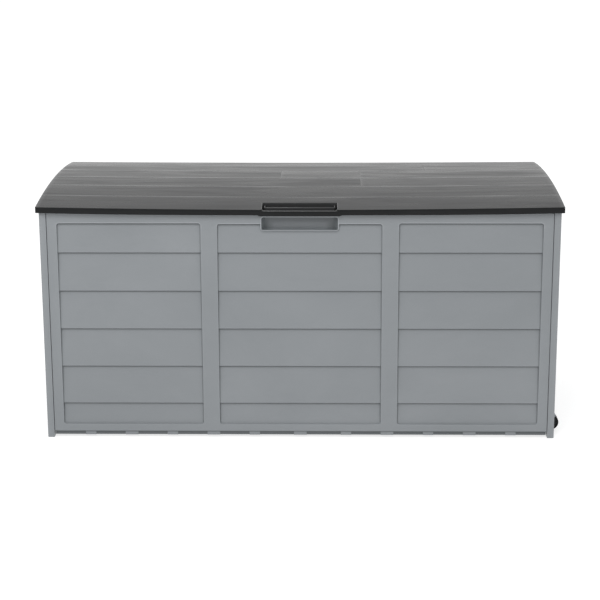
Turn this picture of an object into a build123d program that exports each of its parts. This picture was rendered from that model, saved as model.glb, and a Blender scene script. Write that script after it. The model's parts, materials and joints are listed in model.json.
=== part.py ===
"""Deck storage box: a flat-pack plastic chest with a planked, hinged lid and two wheels at its right end.

Millimetres. +X is to the right, -Y is the front, +Z is up. The origin is on the ground, under the
middle of the lid. Five moulded panels stand in tongues and screws, the lid turns on three steel pins
behind the back panel, and the two wheels turn on short axles in brackets inside the right side panel.
"""
from build123d import *
from math import asin, degrees, sqrt
import os

# ---------------------------------------------------------------- lid
lid_width = 1120.0          # left to right
lid_depth = 490.0           # front to back
lid_edge_height = 520.5     # top of the lid's front edge at its ends, above the ground
lid_rise = 15.0             # crown of the arched top above its front edge
lid_dip = 4.6               # the whole lid is this much lower midway along than at its ends
lid_skirt = 13.0            # height of the skirt round the lid
lid_wall = 3.0
plank_count = 6
groove_width = 4.5
groove_depth = 1.3
lid_rib = 2.2               # thickness of the ribs under the lid
lid_rib_count = 7
lid_rib_clear = 5.5         # ribs end this far above the skirt's lower edge

# ---------------------------------------------------------------- lid pocket and lip
pocket_width = 160.0
pocket_back = 43.5          # rear edge of the pocket behind the lid's front edge
pocket_front_wall = 4.0
pocket_floor_drop = 15.7    # each drop is measured down from the top of the lid's front edge
pocket_rim_drop = 8.7       # the front wall is lower than the lid here
collar_setback = 17.0       # wall round the deep part of the pocket, behind the front edge
collar_inset = 4.5          # and in from the pocket's ends
collar_wall = 2.5
collar_drop = 4.7
trough_drop = 13.5          # floor between the collar and the pocket's edge
lip_width = 169.0
lip_drop = 20.0             # lower edge of the deeper front lip
lip_slope = 14.0            # its ends slope out by this much, up into the skirt

# ---------------------------------------------------------------- body
side_overhang = 5.5         # lid past the side panels
front_overhang = 10.0       # lid past the front panel
rear_overhang = 13.0        # lid past the back panel, over the hinges
wall = 3.0                  # moulded wall of every panel
side_thickness = 14.5
panel_thickness = 16.0      # front and back panels, over their edge flanges
panel_gap = 1.4             # open joint between a side panel and the panel beside it
side_proud = 1.5            # side panels stand this far past the front and back faces
corner_radius = 4.0
seat_clearance = 0.3        # between pieces that rest on each other
panel_bottom = 13.5
panel_top = 506.0
side_top = 512.0
notch_half_width = 99.0     # front panel's top edge drops under the lid pocket
notch_drop = 5.0

# ---------------------------------------------------------------- boards
bay_top = 482.6
centre_bay_top = 481.0      # lower, under the finger recess
bay_bottom = 30.5
first_board_line = 78.7     # height of the lowest joint between boards
board_pitch = 84.85
board_joints = 5
board_top_depth = 6.0       # each board leans in towards its top
board_foot_depth = 1.5
board_chamfer = 0.9
bay_corner = 5.0
centre_bay_width = 351.0
stile_width = 36.0
end_stile_width = 21.6
side_stile_width = 36.0

# ---------------------------------------------------------------- finger recess
recess_width = 163.0
recess_bottom = 468.2
recess_top = 496.0
recess_corner = 5.0
recess_depth = 15.0         # in the front panel
grip_depth = 22.0           # the same recess is deeper in the side panels
recess_end_slope = 15.0     # the ends slope in by this much
recess_top_slope = 3.0
recess_rim = 3.0
recess_rim_proud = 0.8

# ---------------------------------------------------------------- base
base_bottom = 6.7
base_setback = 4.0          # base apron behind the front and back faces
base_end_gap = 3.0          # base to side panel
base_rib = 2.0
base_rib_pitch = 118.0
upstand = 11.0              # locating lip behind the panels' lower flanges
upstand_wall = 2.5
foot_radius = 14.0
foot_spacing_x = 270.0
foot_spacing_y = 150.0
tongue_pitch = 90.0
tongue_centre_gap = 100.0   # the first tongue beside the middle one
tongue_wide = 28.0
tongue_narrow = 23.0
tongue_pairs = 5
tongue_setback = 2.0        # tongue tips behind the panel faces
end_tongue_width = 50.0
end_tongue_pitch = 95.0
end_tongue_reach = 9.0      # into the side panel
leg_length = 35.0
leg_relief = 3.4            # side panel's lower edge between its legs

# ---------------------------------------------------------------- screws
screw_radius = 2.0
screw_clearance = 0.1
screw_head_radius = 4.0
screw_head = 2.0
screw_head_gap = 0.05       # head to the face under it
screw_reach = 13.0
screw_heights = (90.0, 260.0, 430.0)
screw_setback = 9.5         # screw line behind the front and back faces
screw_boss_radius = 5.5
corner_post = 25.0          # closed box section at each edge of a side panel
drive_width = 1.2
drive_length = 5.0
drive_depth = 1.1

# ---------------------------------------------------------------- hinges
hinge_inset = 154.5         # outer hinges in from the box's ends
hinge_drop = 9.0            # hinge line below the back panel's top edge
knuckle_radius = 5.5
knuckle_gap = 1.0           # knuckle to back face
lid_knuckle = 24.0
body_knuckle = 14.0
knuckle_side_gap = 0.5
hinge_pin_radius = 2.5
running_clearance = 0.05
pin_head_radius = 4.2
pin_head = 1.5
pin_tail = 3.0
pin_head_gap = 0.1          # head or push nut to the face beside it
heel_reach = 5.0            # square heel under each lid knuckle, which stops the lid past upright
heel_drop = 5.4

# ---------------------------------------------------------------- wheels
wheel_radius = 17.0
wheel_width = 22.0
wheel_height = 18.4         # axle above the ground
wheel_setback = 66.0        # middle of the wheel behind the lid's front edge
wheel_rim = 3.0
wheel_dish = 4.0            # web set in from each face
wheel_hub_radius = 5.6
wheel_spokes = 6
wheel_spoke = 1.6
spoke_setback = 1.0         # spokes behind the faces of the rim
axle_radius = 3.0
axle_head_radius = 5.0
axle_head = 1.5
push_nut = 1.2
push_nut_radius = 5.4
cheek = 2.5
cheek_gap = 1.0             # wheel to cheek
cheek_reach = 5.0           # cheek past the axle
cheek_drop = 8.0            # and below it
cheek_rise = 11.0           # from here up, the cheek closes the end of the hood
hood_wall = 1.5
hood_roof = 0.4             # what the level part of the hood is thicker by
hood_reach = 10.2           # hood past the side panel's face
hood_height = 33.8          # top of the hood above the axle
hood_lip_height = 17.1      # its outer lip above the axle
bracket_plate = 4.2
bracket_wing = 6.0
bracket_height = 18.0
notch_margin = 1.5
bracket_screw_height = 10.0

# ---------------------------------------------------------------- derived places
body_half = lid_width / 2 - side_overhang
side_inner = body_half - side_thickness
panel_half = side_inner - panel_gap
front_face = -lid_depth / 2 + front_overhang
back_face = lid_depth / 2 - rear_overhang
side_half = (back_face - front_face) / 2 + side_proud
side_mid = (front_face + back_face) / 2
skirt_bottom = lid_edge_height - lid_skirt
pocket_floor = lid_edge_height - pocket_floor_drop
pocket_rim = lid_edge_height - pocket_rim_drop
collar_top = lid_edge_height - collar_drop
trough_floor = lid_edge_height - trough_drop
lip_bottom = lid_edge_height - lip_drop
notch_top = panel_top - notch_drop
arch_radius = ((lid_depth / 2) ** 2 + lid_rise ** 2) / (2 * lid_rise)
arch_centre = lid_edge_height + lid_rise - arch_radius
dip_radius = ((lid_width / 2) ** 2 + lid_dip ** 2) / (2 * lid_dip)
above_lid = lid_edge_height + 2 * lid_rise
board_lines = [first_board_line + board_pitch * i for i in range(board_joints)]
board_slope = (board_top_depth - board_foot_depth) / board_pitch
base_top = panel_bottom - seat_clearance
base_half = side_inner - base_end_gap
hinge_y = back_face + knuckle_gap + knuckle_radius
hinge_height = panel_top - hinge_drop
hinge_places = (hinge_inset - body_half, 0.0, body_half - hinge_inset)
wheel_half = wheel_width / 2
cheek_inner = wheel_half + cheek_gap
cheek_outer = cheek_inner + cheek
wheel_places = {"front": -lid_depth / 2 + wheel_setback, "rear": lid_depth / 2 - wheel_setback}
notch_half = cheek_outer + axle_head + notch_margin
notch_height = wheel_height + hood_height + seat_clearance
skin_inner = body_half - wall
bracket_face = skin_inner - seat_clearance
bracket_bottom = notch_height + seat_clearance
recess_mid = (recess_bottom + recess_top) / 2


# ================================================================ helpers
def block(x_low, x_high, y_low, y_high, z_low, z_high):
    """A box given by its limits."""
    size = Box(x_high - x_low, y_high - y_low, z_high - z_low)
    return Pos((x_low + x_high) / 2, (y_low + y_high) / 2, (z_low + z_high) / 2) * size


def rod_x(radius, x_low, x_high, y, z):
    """A cylinder along X."""
    return Pos((x_low + x_high) / 2, y, z) * Rot(0, 90, 0) * Cylinder(radius, x_high - x_low)


def rod_y(radius, x, y_low, y_high, z):
    """A cylinder along Y."""
    return Pos(x, (y_low + y_high) / 2, z) * Rot(90, 0, 0) * Cylinder(radius, y_high - y_low)


def upright(width, height, radius, x, y, z):
    """A rounded rectangle facing the front, centred at x, y, z."""
    plane = Plane(origin=(x, y, z), x_dir=(1, 0, 0), z_dir=(0, -1, 0))
    return plane * RectangleRounded(width, height, radius)


def prism(width, height, radius, x, z, y_low, y_high):
    """A rounded rectangle carried from y_low back to y_high."""
    return extrude(upright(width, height, radius, x, y_high, z), amount=y_high - y_low)


def along_x(points, x_low, x_high):
    """A (y, z) outline carried from x_low to x_high."""
    outline = Polyline(*[(x_low, y, z) for y, z in points], close=True)
    return extrude(make_face(outline), amount=x_high - x_low, dir=(1, 0, 0))


def along_y(points, y_low, y_high):
    """An (x, z) outline carried from y_low to y_high."""
    outline = Polyline(*[(x, y_low, z) for x, z in points], close=True)
    return extrude(make_face(outline), amount=y_high - y_low, dir=(0, 1, 0))


def save(node, shape):
    """Write one sub-part as parts/NODE.step."""
    export_step(shape, f"parts/{node}.step")
    print(f"{node}: {len(shape.solids())} solid, {shape.volume / 1000:.1f} cm3")


# ================================================================ panels
def tray(half, depth, low, high, corner):
    """A moulded panel's face with flanges round it: outer face at y = 0, open side at y = depth."""
    outline = Pos(0, depth / 2) * Rectangle(2 * half, depth)
    outline = fillet(outline.vertices().filter_by(lambda v: v.Y < depth / 2), corner)
    solid = extrude(Pos(0, 0, low) * outline, amount=high - low)
    return solid - block(-half + wall, half - wall, wall, depth + 1, low + wall, high - wall)


def board_depth(height, foot):
    """How far a board's face lies behind the panel's face, at a height above its foot."""
    return board_foot_depth + board_slope * (height - foot)


def boards(x_low, x_high, low, high):
    """One bay of overlapping boards as a single folded sheet between two heights."""
    lines = [z for z in board_lines if low + wall < z < high - wall]
    top_foot = lines[-1] if lines else low
    lowest_foot = (lines[0] if lines else high) - board_pitch
    if low in board_lines:
        lowest_foot = low
    outer = [(board_depth(high, top_foot), high)]
    inner = [(board_depth(high, top_foot) + wall, high)]
    for z in reversed(lines):
        foot = board_depth(z, z)
        outer += [(foot, z + board_chamfer), (foot + board_chamfer, z), (board_top_depth, z)]
        inner += [(board_depth(z + wall, z) + wall, z + wall), (board_top_depth + wall, z + wall),
                  (board_top_depth + wall, z)]
    end_depth = board_depth(low, lowest_foot)
    outer.append((end_depth, low))
    inner.append((end_depth + wall, low))
    return along_x(outer + inner[::-1], x_low, x_high)


def add_bay(panel, x_low, x_high, low, high):
    """Sink a bay of boards into a panel's face, with a rounded frame edge and side walls behind it."""
    width, height = x_high - x_low, high - low
    x_mid, z_mid = (x_low + x_high) / 2, (low + high) / 2
    window = prism(width, height, bay_corner, x_mid, z_mid, -1, board_top_depth + 2 * wall)
    ring = prism(width + 2 * wall, height + 2 * wall, bay_corner + wall, x_mid, z_mid, 0,
                 board_top_depth + wall)
    sheet = boards(x_low - wall / 2, x_high + wall / 2, low, high)
    return (panel + ring) - window + sheet


def recess_form(grow, depth, y_mouth):
    """The tapered form of the finger recess, grown on every side."""
    width, height = recess_width + 2 * grow, recess_top - recess_bottom + 2 * grow
    mouth = upright(width, height, recess_corner + grow, 0, y_mouth, recess_mid)
    floor = upright(width - 2 * recess_end_slope, height - 2 * recess_top_slope,
                    recess_corner + grow - recess_top_slope, 0, y_mouth + depth, recess_mid)
    return loft([mouth, floor])


def add_recess(panel, depth):
    """Sink the finger recess into a panel to a depth, with a raised rim round its mouth."""
    width, height = recess_width + 2 * recess_rim, recess_top - recess_bottom + 2 * recess_rim
    rim = prism(width, height, recess_corner + recess_rim, 0, recess_mid, -recess_rim_proud,
                board_top_depth + wall)
    mouth = prism(recess_width, recess_top - recess_bottom, recess_corner, 0, recess_mid,
                  -recess_rim_proud - 1, 0)
    solid = panel + rim + recess_form(wall, depth + wall, 0)
    return solid - mouth - recess_form(0, depth, 0)


def end_bosses(half):
    """Screw bosses on both end flanges, which close the open joint to the side panels."""
    proud = panel_gap - seat_clearance
    bosses = [rod_x(screw_boss_radius, half - wall / 2, half + proud, screw_setback, z)
              for z in screw_heights]
    return bosses + [mirror(boss, Plane.YZ) for boss in bosses]


def end_screw_holes(half):
    """Clearance holes through both end flanges and their bosses."""
    radius = screw_radius + screw_clearance
    holes = [rod_x(radius, half - 2 * wall, half + panel_gap, screw_setback, z) for z in screw_heights]
    return holes + [mirror(hole, Plane.YZ) for hole in holes]


def long_panel():
    """Front or back panel in its own frame: face at y = 0, inside towards +y."""
    panel = tray(panel_half, panel_thickness, panel_bottom, panel_top, corner_radius / 2)
    half = centre_bay_width / 2
    near, far = half + stile_width, panel_half - end_stile_width
    panel = add_bay(panel, -half, half, bay_bottom, centre_bay_top)
    panel = add_bay(panel, near, far, bay_bottom, bay_top)
    panel = add_bay(panel, -far, -near, bay_bottom, bay_top)
    for boss in end_bosses(panel_half):
        panel += boss
    for hole in end_screw_holes(panel_half):
        panel -= hole
    return panel


def front_panel():
    """Long panel with the finger recess, and its top edge lowered under the lid pocket."""
    panel = long_panel()
    panel -= block(-notch_half_width, notch_half_width, -1, panel_thickness + 1, notch_top, panel_top + 1)
    panel += block(-notch_half_width - wall, notch_half_width + wall, 0, panel_thickness,
                   notch_top - wall, notch_top)
    for side in (-1, 1):
        x = side * (notch_half_width + wall / 2)
        panel += block(x - wall / 2, x + wall / 2, 0, panel_thickness, notch_top - wall, panel_top)
    return Pos(0, front_face, 0) * add_recess(panel, recess_depth)


def back_panel():
    """Long panel with the fixed hinge knuckles on its outer face."""
    panel = Pos(0, back_face, 0) * Rot(0, 0, 180) * long_panel()
    offset = lid_knuckle / 2 + knuckle_side_gap
    for x in hinge_places:
        for x_low in (x - offset - body_knuckle, x + offset):
            x_high = x_low + body_knuckle
            panel += rod_x(knuckle_radius, x_low, x_high, hinge_y, hinge_height)
            panel += block(x_low, x_high, back_face - wall / 2, hinge_y,
                           hinge_height - 2 * knuckle_radius, hinge_height + knuckle_radius - 1)
            panel -= rod_x(hinge_pin_radius + running_clearance, x_low - 1, x_high + 1, hinge_y, hinge_height)
    return panel


def side_blank():
    """Side panel in its own frame: face at y = 0, inside towards +y, legs at both ends."""
    panel = tray(side_half, side_thickness, 0, side_top, corner_radius)
    relief = side_half - leg_length
    panel -= block(-relief, relief, -1, side_thickness + 1, -1, leg_relief)
    panel += block(-relief - wall, relief + wall, 0, side_thickness, leg_relief, leg_relief + wall)
    bay_half = side_half - side_stile_width
    panel = add_bay(panel, -bay_half, bay_half, first_board_line, bay_top)
    radius = screw_radius + screw_clearance
    for side in (-1, 1):
        edge, inner = side * (side_half - wall / 2), side * (side_half - corner_post)
        panel += block(min(edge, inner), max(edge, inner), side_thickness - wall, side_thickness, 1, side_top)
        panel += block(inner - wall / 2, inner + wall / 2, wall / 2, side_thickness, 1, side_top)
        panel += block(min(edge, inner), max(edge, inner), wall / 2, side_thickness, 0, wall)
        x = side * (side_half - side_proud - screw_setback)
        for z in screw_heights:
            panel -= rod_y(radius, x, side_thickness - wall - 1, side_thickness + 1, z)
    return add_recess(panel, grip_depth)


def left_side_panel():
    """Side blank turned to face left."""
    return Pos(-body_half, side_mid, 0) * Rot(0, 0, -90) * side_blank()


def right_side_panel():
    """Side blank turned to face right, notched for the two wheels and drilled for their brackets."""
    panel = Pos(body_half, side_mid, 0) * Rot(0, 0, 90) * side_blank()
    for y in wheel_places.values():
        panel -= block(side_inner - 1, body_half + 1, y - notch_half, y + notch_half, -1, notch_height)
        for screw_y in bracket_screw_places(y):
            panel -= rod_x(screw_radius + screw_clearance, skin_inner - 1, body_half + 1, screw_y,
                           bracket_bottom + bracket_screw_height)
    return panel


# ================================================================ base
def tongue_row():
    """Middle and width of each tongue along one long edge of the base: wide and narrow by turns."""
    row = [(0.0, tongue_wide)]
    for i in range(tongue_pairs):
        width = tongue_narrow if i % 2 == 0 else tongue_wide
        for side in (-1, 1):
            row.append((side * (tongue_centre_gap + i * tongue_pitch), width))
    return row


def base_panel():
    """Floor plate with apron, ribs, feet, locating upstands and tongues on all four edges."""
    front, back = front_face + base_setback, back_face - base_setback
    base = block(-base_half, base_half, front, back, base_bottom, base_top)
    base -= block(-base_half + wall, base_half - wall, front + wall, back - wall,
                  base_bottom - 1, base_top - wall)
    rib_count = int(base_half / base_rib_pitch)
    for i in range(-rib_count, rib_count + 1):
        x = i * base_rib_pitch
        base += block(x - base_rib / 2, x + base_rib / 2, front, back, base_bottom, base_top - 1)
    for y in (-foot_spacing_y, 0.0, foot_spacing_y):
        base += block(-base_half, base_half, y - base_rib / 2, y + base_rib / 2, base_bottom, base_top - 1)
        for x in (-foot_spacing_x, 0.0, foot_spacing_x):
            base += Pos(x, y, base_top / 2 - 0.5) * Cylinder(foot_radius, base_top - 1)
    for x, width in tongue_row():
        low, high = x - width / 2, x + width / 2
        base += block(low, high, front_face + tongue_setback, front + 1, base_bottom, base_top)
        base += block(low, high, back - 1, back_face - tongue_setback, base_bottom, base_top)
    for y in (-end_tongue_pitch, 0.0, end_tongue_pitch):
        for side in (-1, 1):
            edge, tip = side * (base_half - 1), side * (side_inner + end_tongue_reach)
            base += block(min(edge, tip), max(edge, tip), y - end_tongue_width / 2, y + end_tongue_width / 2,
                          base_bottom, base_top)
    return base + base_upstands()


def base_upstands():
    """Low walls on the floor that hold the four panels' lower edges outwards."""
    front = front_face + panel_thickness + seat_clearance
    back = back_face - panel_thickness - seat_clearance
    long_half = base_half - upstand_wall - 4 * wall
    side_half_length = (back - front) / 2 - 4 * wall
    mid = (front + back) / 2
    walls = block(-long_half, long_half, front, front + upstand_wall, base_top - 1, base_top + upstand)
    walls += block(-long_half, long_half, back - upstand_wall, back, base_top - 1, base_top + upstand)
    for side in (-1, 1):
        outer, inner = side * base_half, side * (base_half - upstand_wall)
        walls += block(min(outer, inner), max(outer, inner), mid - side_half_length, mid + side_half_length,
                       base_top - 1, base_top + upstand)
    return walls


# ================================================================ lid
def dipped(outline, half_width):
    """A (y, z) face drawn as the lid is at its ends, carried along X in a long shallow dip."""
    axis = Axis((0, 0, dip_radius + lid_edge_height), (0, 1, 0))
    turn = degrees(asin((half_width + 1) / dip_radius))
    drawn = Pos(0, 0, -lid_dip) * outline
    sweep = revolve(drawn.rotate(axis, -turn), axis, 2 * turn)
    return sweep & block(-half_width, half_width, -lid_depth, lid_depth, 0, above_lid)


def arch_face(inset, low):
    """Section of the lid's loaf form, set in on every side by inset, down to height low."""
    half = lid_depth / 2 - inset
    radius = arch_radius - inset
    edge = arch_centre + sqrt(radius ** 2 - half ** 2)
    corners = [(0, -half, edge), (0, -half, low), (0, half, low), (0, half, edge)]
    return make_face(Polyline(*corners) + ThreePointArc(corners[3], (0, 0, arch_centre + radius), corners[0]))


def arch(half_width, inset, low):
    """The lid's loaf form, set in by inset, from height low up to the arched top."""
    return dipped(arch_face(inset, low), half_width)


def arch_above(half_width, inset, low):
    """The same form with a level underside at height low."""
    return arch(half_width, inset, low - lid_dip) & block(-half_width, half_width, -lid_depth, lid_depth,
                                                          low, above_lid)


def arch_height(y):
    """Height of the lid's top surface at a depth, at its ends."""
    return arch_centre + sqrt(arch_radius ** 2 - y ** 2)


def plank_grooves():
    """V grooves between the planks."""
    pitch = lid_depth / plank_count
    grooves = []
    for i in range(1, plank_count):
        y = -lid_depth / 2 + i * pitch
        z = arch_height(y)
        half = groove_width / 2
        corners = [(0, y - half, z + 0.5), (0, y, z - groove_depth), (0, y + half, z + 0.5)]
        grooves.append(dipped(make_face(Polyline(*corners, close=True)), lid_width / 2 + 1))
    return grooves


def lid_ribs():
    """Ribs under the lid: across it, along it, and one over each side panel that carries it."""
    half = lid_width / 2 - lid_wall
    depth = lid_depth / 2 - lid_wall
    inside = arch(half + 1, lid_wall - 1, skirt_bottom + lid_rib_clear)
    over_sides = arch_above(half, lid_wall - 1, side_top + seat_clearance)
    pitch = 2 * side_inner / (lid_rib_count + 1)
    ribs = []
    for i in range(1, lid_rib_count + 1):
        ribs.append(inside & plate_across(-side_inner + i * pitch, depth))
    for i in (2, 3, 4):
        y = -lid_depth / 2 + i * lid_depth / plank_count
        ribs.append(inside & block(-half, half, y - lid_rib / 2, y + lid_rib / 2, 0, above_lid))
    for side in (-1, 1):
        ribs.append(over_sides & plate_across(side * (body_half - side_thickness / 2), depth))
    return ribs


def plate_across(x, depth):
    """A thin upright plate across the lid, to be cut to the space under it."""
    return block(x - lid_rib / 2, x + lid_rib / 2, -depth, depth, 0, above_lid)


def front_seats():
    """Two ribs that rest on the front panel's top edge, one each side of the pocket."""
    y = front_face + panel_thickness / 2
    inside = arch_above(lid_width / 2 - 1, lid_wall - 1, panel_top + seat_clearance)
    seats = []
    for side in (-1, 1):
        near, far = side * (notch_half_width + 2 * wall), side * (panel_half - 2 * wall)
        seats.append(inside & block(min(near, far), max(near, far), y - lid_rib / 2, y + lid_rib / 2,
                                    0, above_lid))
    return seats


def pocket_tub():
    """The solid round the pocket, before it is hollowed, and the deeper lip in front of it."""
    front, back = -lid_depth / 2, -lid_depth / 2 + pocket_back
    outer = arch_above(pocket_width / 2 + lid_wall, 0, pocket_floor - lid_wall)
    tub = outer & block(-pocket_width, pocket_width, front, back + lid_wall, 0, above_lid)
    lip_half = lip_width / 2
    lip = along_y([(-lip_half, lip_bottom), (lip_half, lip_bottom), (lip_half + lip_slope, skirt_bottom - 1),
                   (-lip_half - lip_slope, skirt_bottom - 1)], front, front + lid_wall)
    return tub + lip


def pocket_hollow():
    """The pocket: a trough with a low front wall, and a deep part inside a collar."""
    half, inner = pocket_width / 2, pocket_width / 2 - collar_inset
    front, back = -lid_depth / 2 + pocket_front_wall, -lid_depth / 2 + pocket_back
    collar = -lid_depth / 2 + collar_setback
    trough = block(-half, half, front, back, trough_floor, above_lid)
    keep = block(-inner, inner, collar, back + 1, 0, collar_top)
    deep = block(-inner + collar_wall, inner - collar_wall, collar + collar_wall, back,
                 pocket_floor, above_lid)
    rim = block(-half, half, -lid_depth / 2 - 1, front + 1, pocket_rim, above_lid)
    return (trough - keep) + deep + rim


def lid_knuckle_at(x):
    """One lid knuckle with its neck, and the square heel that stops the lid past upright."""
    low, high = x - lid_knuckle / 2, x + lid_knuckle / 2
    inside = arch_above(lid_width / 2 - 1, 1, hinge_height)
    neck = inside & block(low, high, hinge_y - knuckle_radius / 2, lid_depth / 2 - 1, 0, above_lid)
    heel = block(low, high, hinge_y, hinge_y + heel_reach, hinge_height - heel_drop, hinge_height)
    return neck + heel + rod_x(knuckle_radius, low, high, hinge_y, hinge_height)


def lid():
    """Arched lid with planks, pocket, lip, ribs and three knuckles, in one piece."""
    shell = arch(lid_width / 2, 0, skirt_bottom) - arch(lid_width / 2 - lid_wall, lid_wall, skirt_bottom - 1)
    for rib in lid_ribs() + front_seats():
        shell += rib
    shell += pocket_tub()
    shell -= pocket_hollow()
    for groove in plank_grooves():
        shell -= groove
    for x in hinge_places:
        shell += lid_knuckle_at(x)
        shell -= rod_x(hinge_pin_radius + running_clearance, x - lid_knuckle, x + lid_knuckle,
                       hinge_y, hinge_height)
    return shell


# ================================================================ pins, wheels, brackets, screws
def hinge_pin(x):
    """Steel pin with a flat head, through two body knuckles and the lid knuckle between them."""
    reach = lid_knuckle / 2 + knuckle_side_gap + body_knuckle
    shank = rod_x(hinge_pin_radius, x - reach - pin_tail, x + reach + 1, hinge_y, hinge_height)
    head = x + reach + pin_head_gap
    return shank + rod_x(pin_head_radius, head, head + pin_head, hinge_y, hinge_height)


def wheel(y):
    """One-piece plastic wheel: rim, thin web, hub and spokes, with a running bore."""
    solid = rod_y(wheel_radius, body_half, y - wheel_half, y + wheel_half, wheel_height)
    for side in (-1, 1):
        near, far = y + side * (wheel_half - wheel_dish), y + side * (wheel_half + 1)
        solid -= rod_y(wheel_radius - wheel_rim, body_half, min(near, far), max(near, far), wheel_height)
    solid += rod_y(wheel_hub_radius, body_half, y - wheel_half, y + wheel_half, wheel_height)
    length = wheel_radius - wheel_rim / 2
    for i in range(wheel_spokes):
        spoke = Pos(length / 2, 0, 0) * Box(length, wheel_width - 2 * spoke_setback, wheel_spoke)
        solid += Pos(body_half, y, wheel_height) * Rot(0, 360 / wheel_spokes * i, 0) * spoke
    return solid - rod_y(axle_radius + running_clearance, body_half, y - wheel_width, y + wheel_width,
                         wheel_height)


def axle(y):
    """Steel axle with a head in front and a plain tail behind."""
    shank = rod_y(axle_radius, body_half, y - cheek_outer - 1, y + cheek_outer + push_nut + 1, wheel_height)
    head = rod_y(axle_head_radius, body_half, y - cheek_outer - axle_head, y - cheek_outer - pin_head_gap,
                 wheel_height)
    return shank + head


def axle_push_nut(y):
    """Spring washer pushed on to the axle's tail."""
    low = y + cheek_outer + pin_head_gap
    ring = rod_y(push_nut_radius, body_half, low, low + push_nut, wheel_height)
    return ring - rod_y(axle_radius + running_clearance, body_half, low - 1, low + push_nut + 1, wheel_height)


def bracket_screw_places(y):
    """Depths of a wheel bracket's two screws."""
    offset = cheek_outer + bracket_wing / 2
    return (y - offset, y + offset)


def wheel_bracket(y):
    """Moulded bracket: plate behind the side panel's skin, two cheeks for the axle, sloping hood."""
    plate_back = bracket_face - bracket_plate
    top = bracket_bottom + bracket_height
    wing = cheek_outer + bracket_wing
    solid = block(plate_back, bracket_face, y - wing, y + wing, bracket_bottom, top)
    foot, tip = wheel_height - cheek_drop, body_half + cheek_reach
    ridge, lip = wheel_height + hood_height, wheel_height + hood_lip_height
    cheek_outline = [(plate_back, foot), (tip, foot), (tip, wheel_height + cheek_rise),
                     (body_half + hood_reach, lip), (body_half, ridge), (bracket_face, ridge),
                     (bracket_face, top), (plate_back, top)]
    for low, high in ((y - cheek_outer, y - cheek_inner), (y + cheek_inner, y + cheek_outer)):
        solid += along_y(cheek_outline, low, high)
    solid += along_y(hood_outline(plate_back), y - cheek_outer, y + cheek_outer)
    solid -= rod_y(axle_radius + running_clearance, body_half, y - wheel_width, y + wheel_width, wheel_height)
    for screw_y in bracket_screw_places(y):
        solid -= rod_x(screw_radius + screw_clearance, plate_back - 1, bracket_face + 1, screw_y,
                       bracket_bottom + bracket_screw_height)
    return solid


def hood_outline(plate_back):
    """Section of the sloping hood, from the plate over the wheel to its outer lip."""
    ridge = wheel_height + hood_height
    lip = wheel_height + hood_lip_height
    run, fall = hood_reach, ridge - lip
    length = sqrt(run ** 2 + fall ** 2)
    inward, down = hood_wall * fall / length, hood_wall * run / length
    return [(plate_back, bracket_bottom + 1), (bracket_face, bracket_bottom + 1), (bracket_face, ridge),
            (body_half, ridge), (body_half + run, lip), (body_half + run - inward, lip - down),
            (body_half - inward, ridge - down - hood_roof), (plate_back, ridge - down - hood_roof)]


def screw(reach):
    """Cross-slotted pan-head screw along +X, its head's underside at the origin."""
    solid = rod_x(screw_head_radius, -screw_head, 0, 0, 0) + rod_x(screw_radius, -0.5, reach, 0, 0)
    for turn in (0, 90):
        slot = block(-screw_head - 1, -screw_head + drive_depth, -drive_length / 2, drive_length / 2,
                     -drive_width / 2, drive_width / 2)
        solid -= Rot(turn, 0, 0) * slot
    return solid


def corner_screws(side, panel_y):
    """Three screws from inside the box, through a panel's end flange into a side panel."""
    x = side * (panel_half - wall - screw_head_gap)
    turn = Rot(0, 0, 0) if side > 0 else Rot(0, 0, 180)
    return Compound(children=[Pos(x, panel_y, z) * turn * screw(screw_reach) for z in screw_heights])


def bracket_screws(y):
    """Two screws from outside, through the side panel's skin into a wheel bracket."""
    z = bracket_bottom + bracket_screw_height
    x = body_half + screw_head_gap
    return Compound(children=[Pos(x, screw_y, z) * Rot(0, 0, 180) * screw(wall + bracket_plate)
                              for screw_y in bracket_screw_places(y)])


# ================================================================ write the nodes
os.makedirs("parts", exist_ok=True)
save("base_panel", base_panel())
save("front_panel", front_panel())
save("back_panel", back_panel())
save("left_side_panel", left_side_panel())
save("right_side_panel", right_side_panel())
save("lid", lid())
for name, x in zip(("left", "middle", "right"), hinge_places):
    save(f"{name}_hinge_pin", hinge_pin(x))
for name, y in wheel_places.items():
    save(f"{name}_wheel", wheel(y))
    save(f"{name}_axle", axle(y))
    save(f"{name}_axle_push_nut", axle_push_nut(y))
    save(f"{name}_wheel_bracket", wheel_bracket(y))
    save(f"{name}_bracket_screws", bracket_screws(y))
for name, y in (("front", front_face + screw_setback), ("back", back_face - screw_setback)):
    save(f"{name}_left_corner_screws", corner_screws(-1, y))
    save(f"{name}_right_corner_screws", corner_screws(1, y))
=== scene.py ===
"""Deck storage box: its visible pieces and finishes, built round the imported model.

Every size in a class is in millimetres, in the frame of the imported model: +X to the right, -Y the
front, +Z up, and the origin on the ground. A ``Sketch`` turns them into metres.
"""
from __future__ import annotations

import json
import logging
import math
from dataclasses import dataclass
from enum import Enum
from typing import Any, Iterable, Sequence

import bmesh
import bpy
import numpy as np
from mathutils import Matrix, Vector

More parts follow.
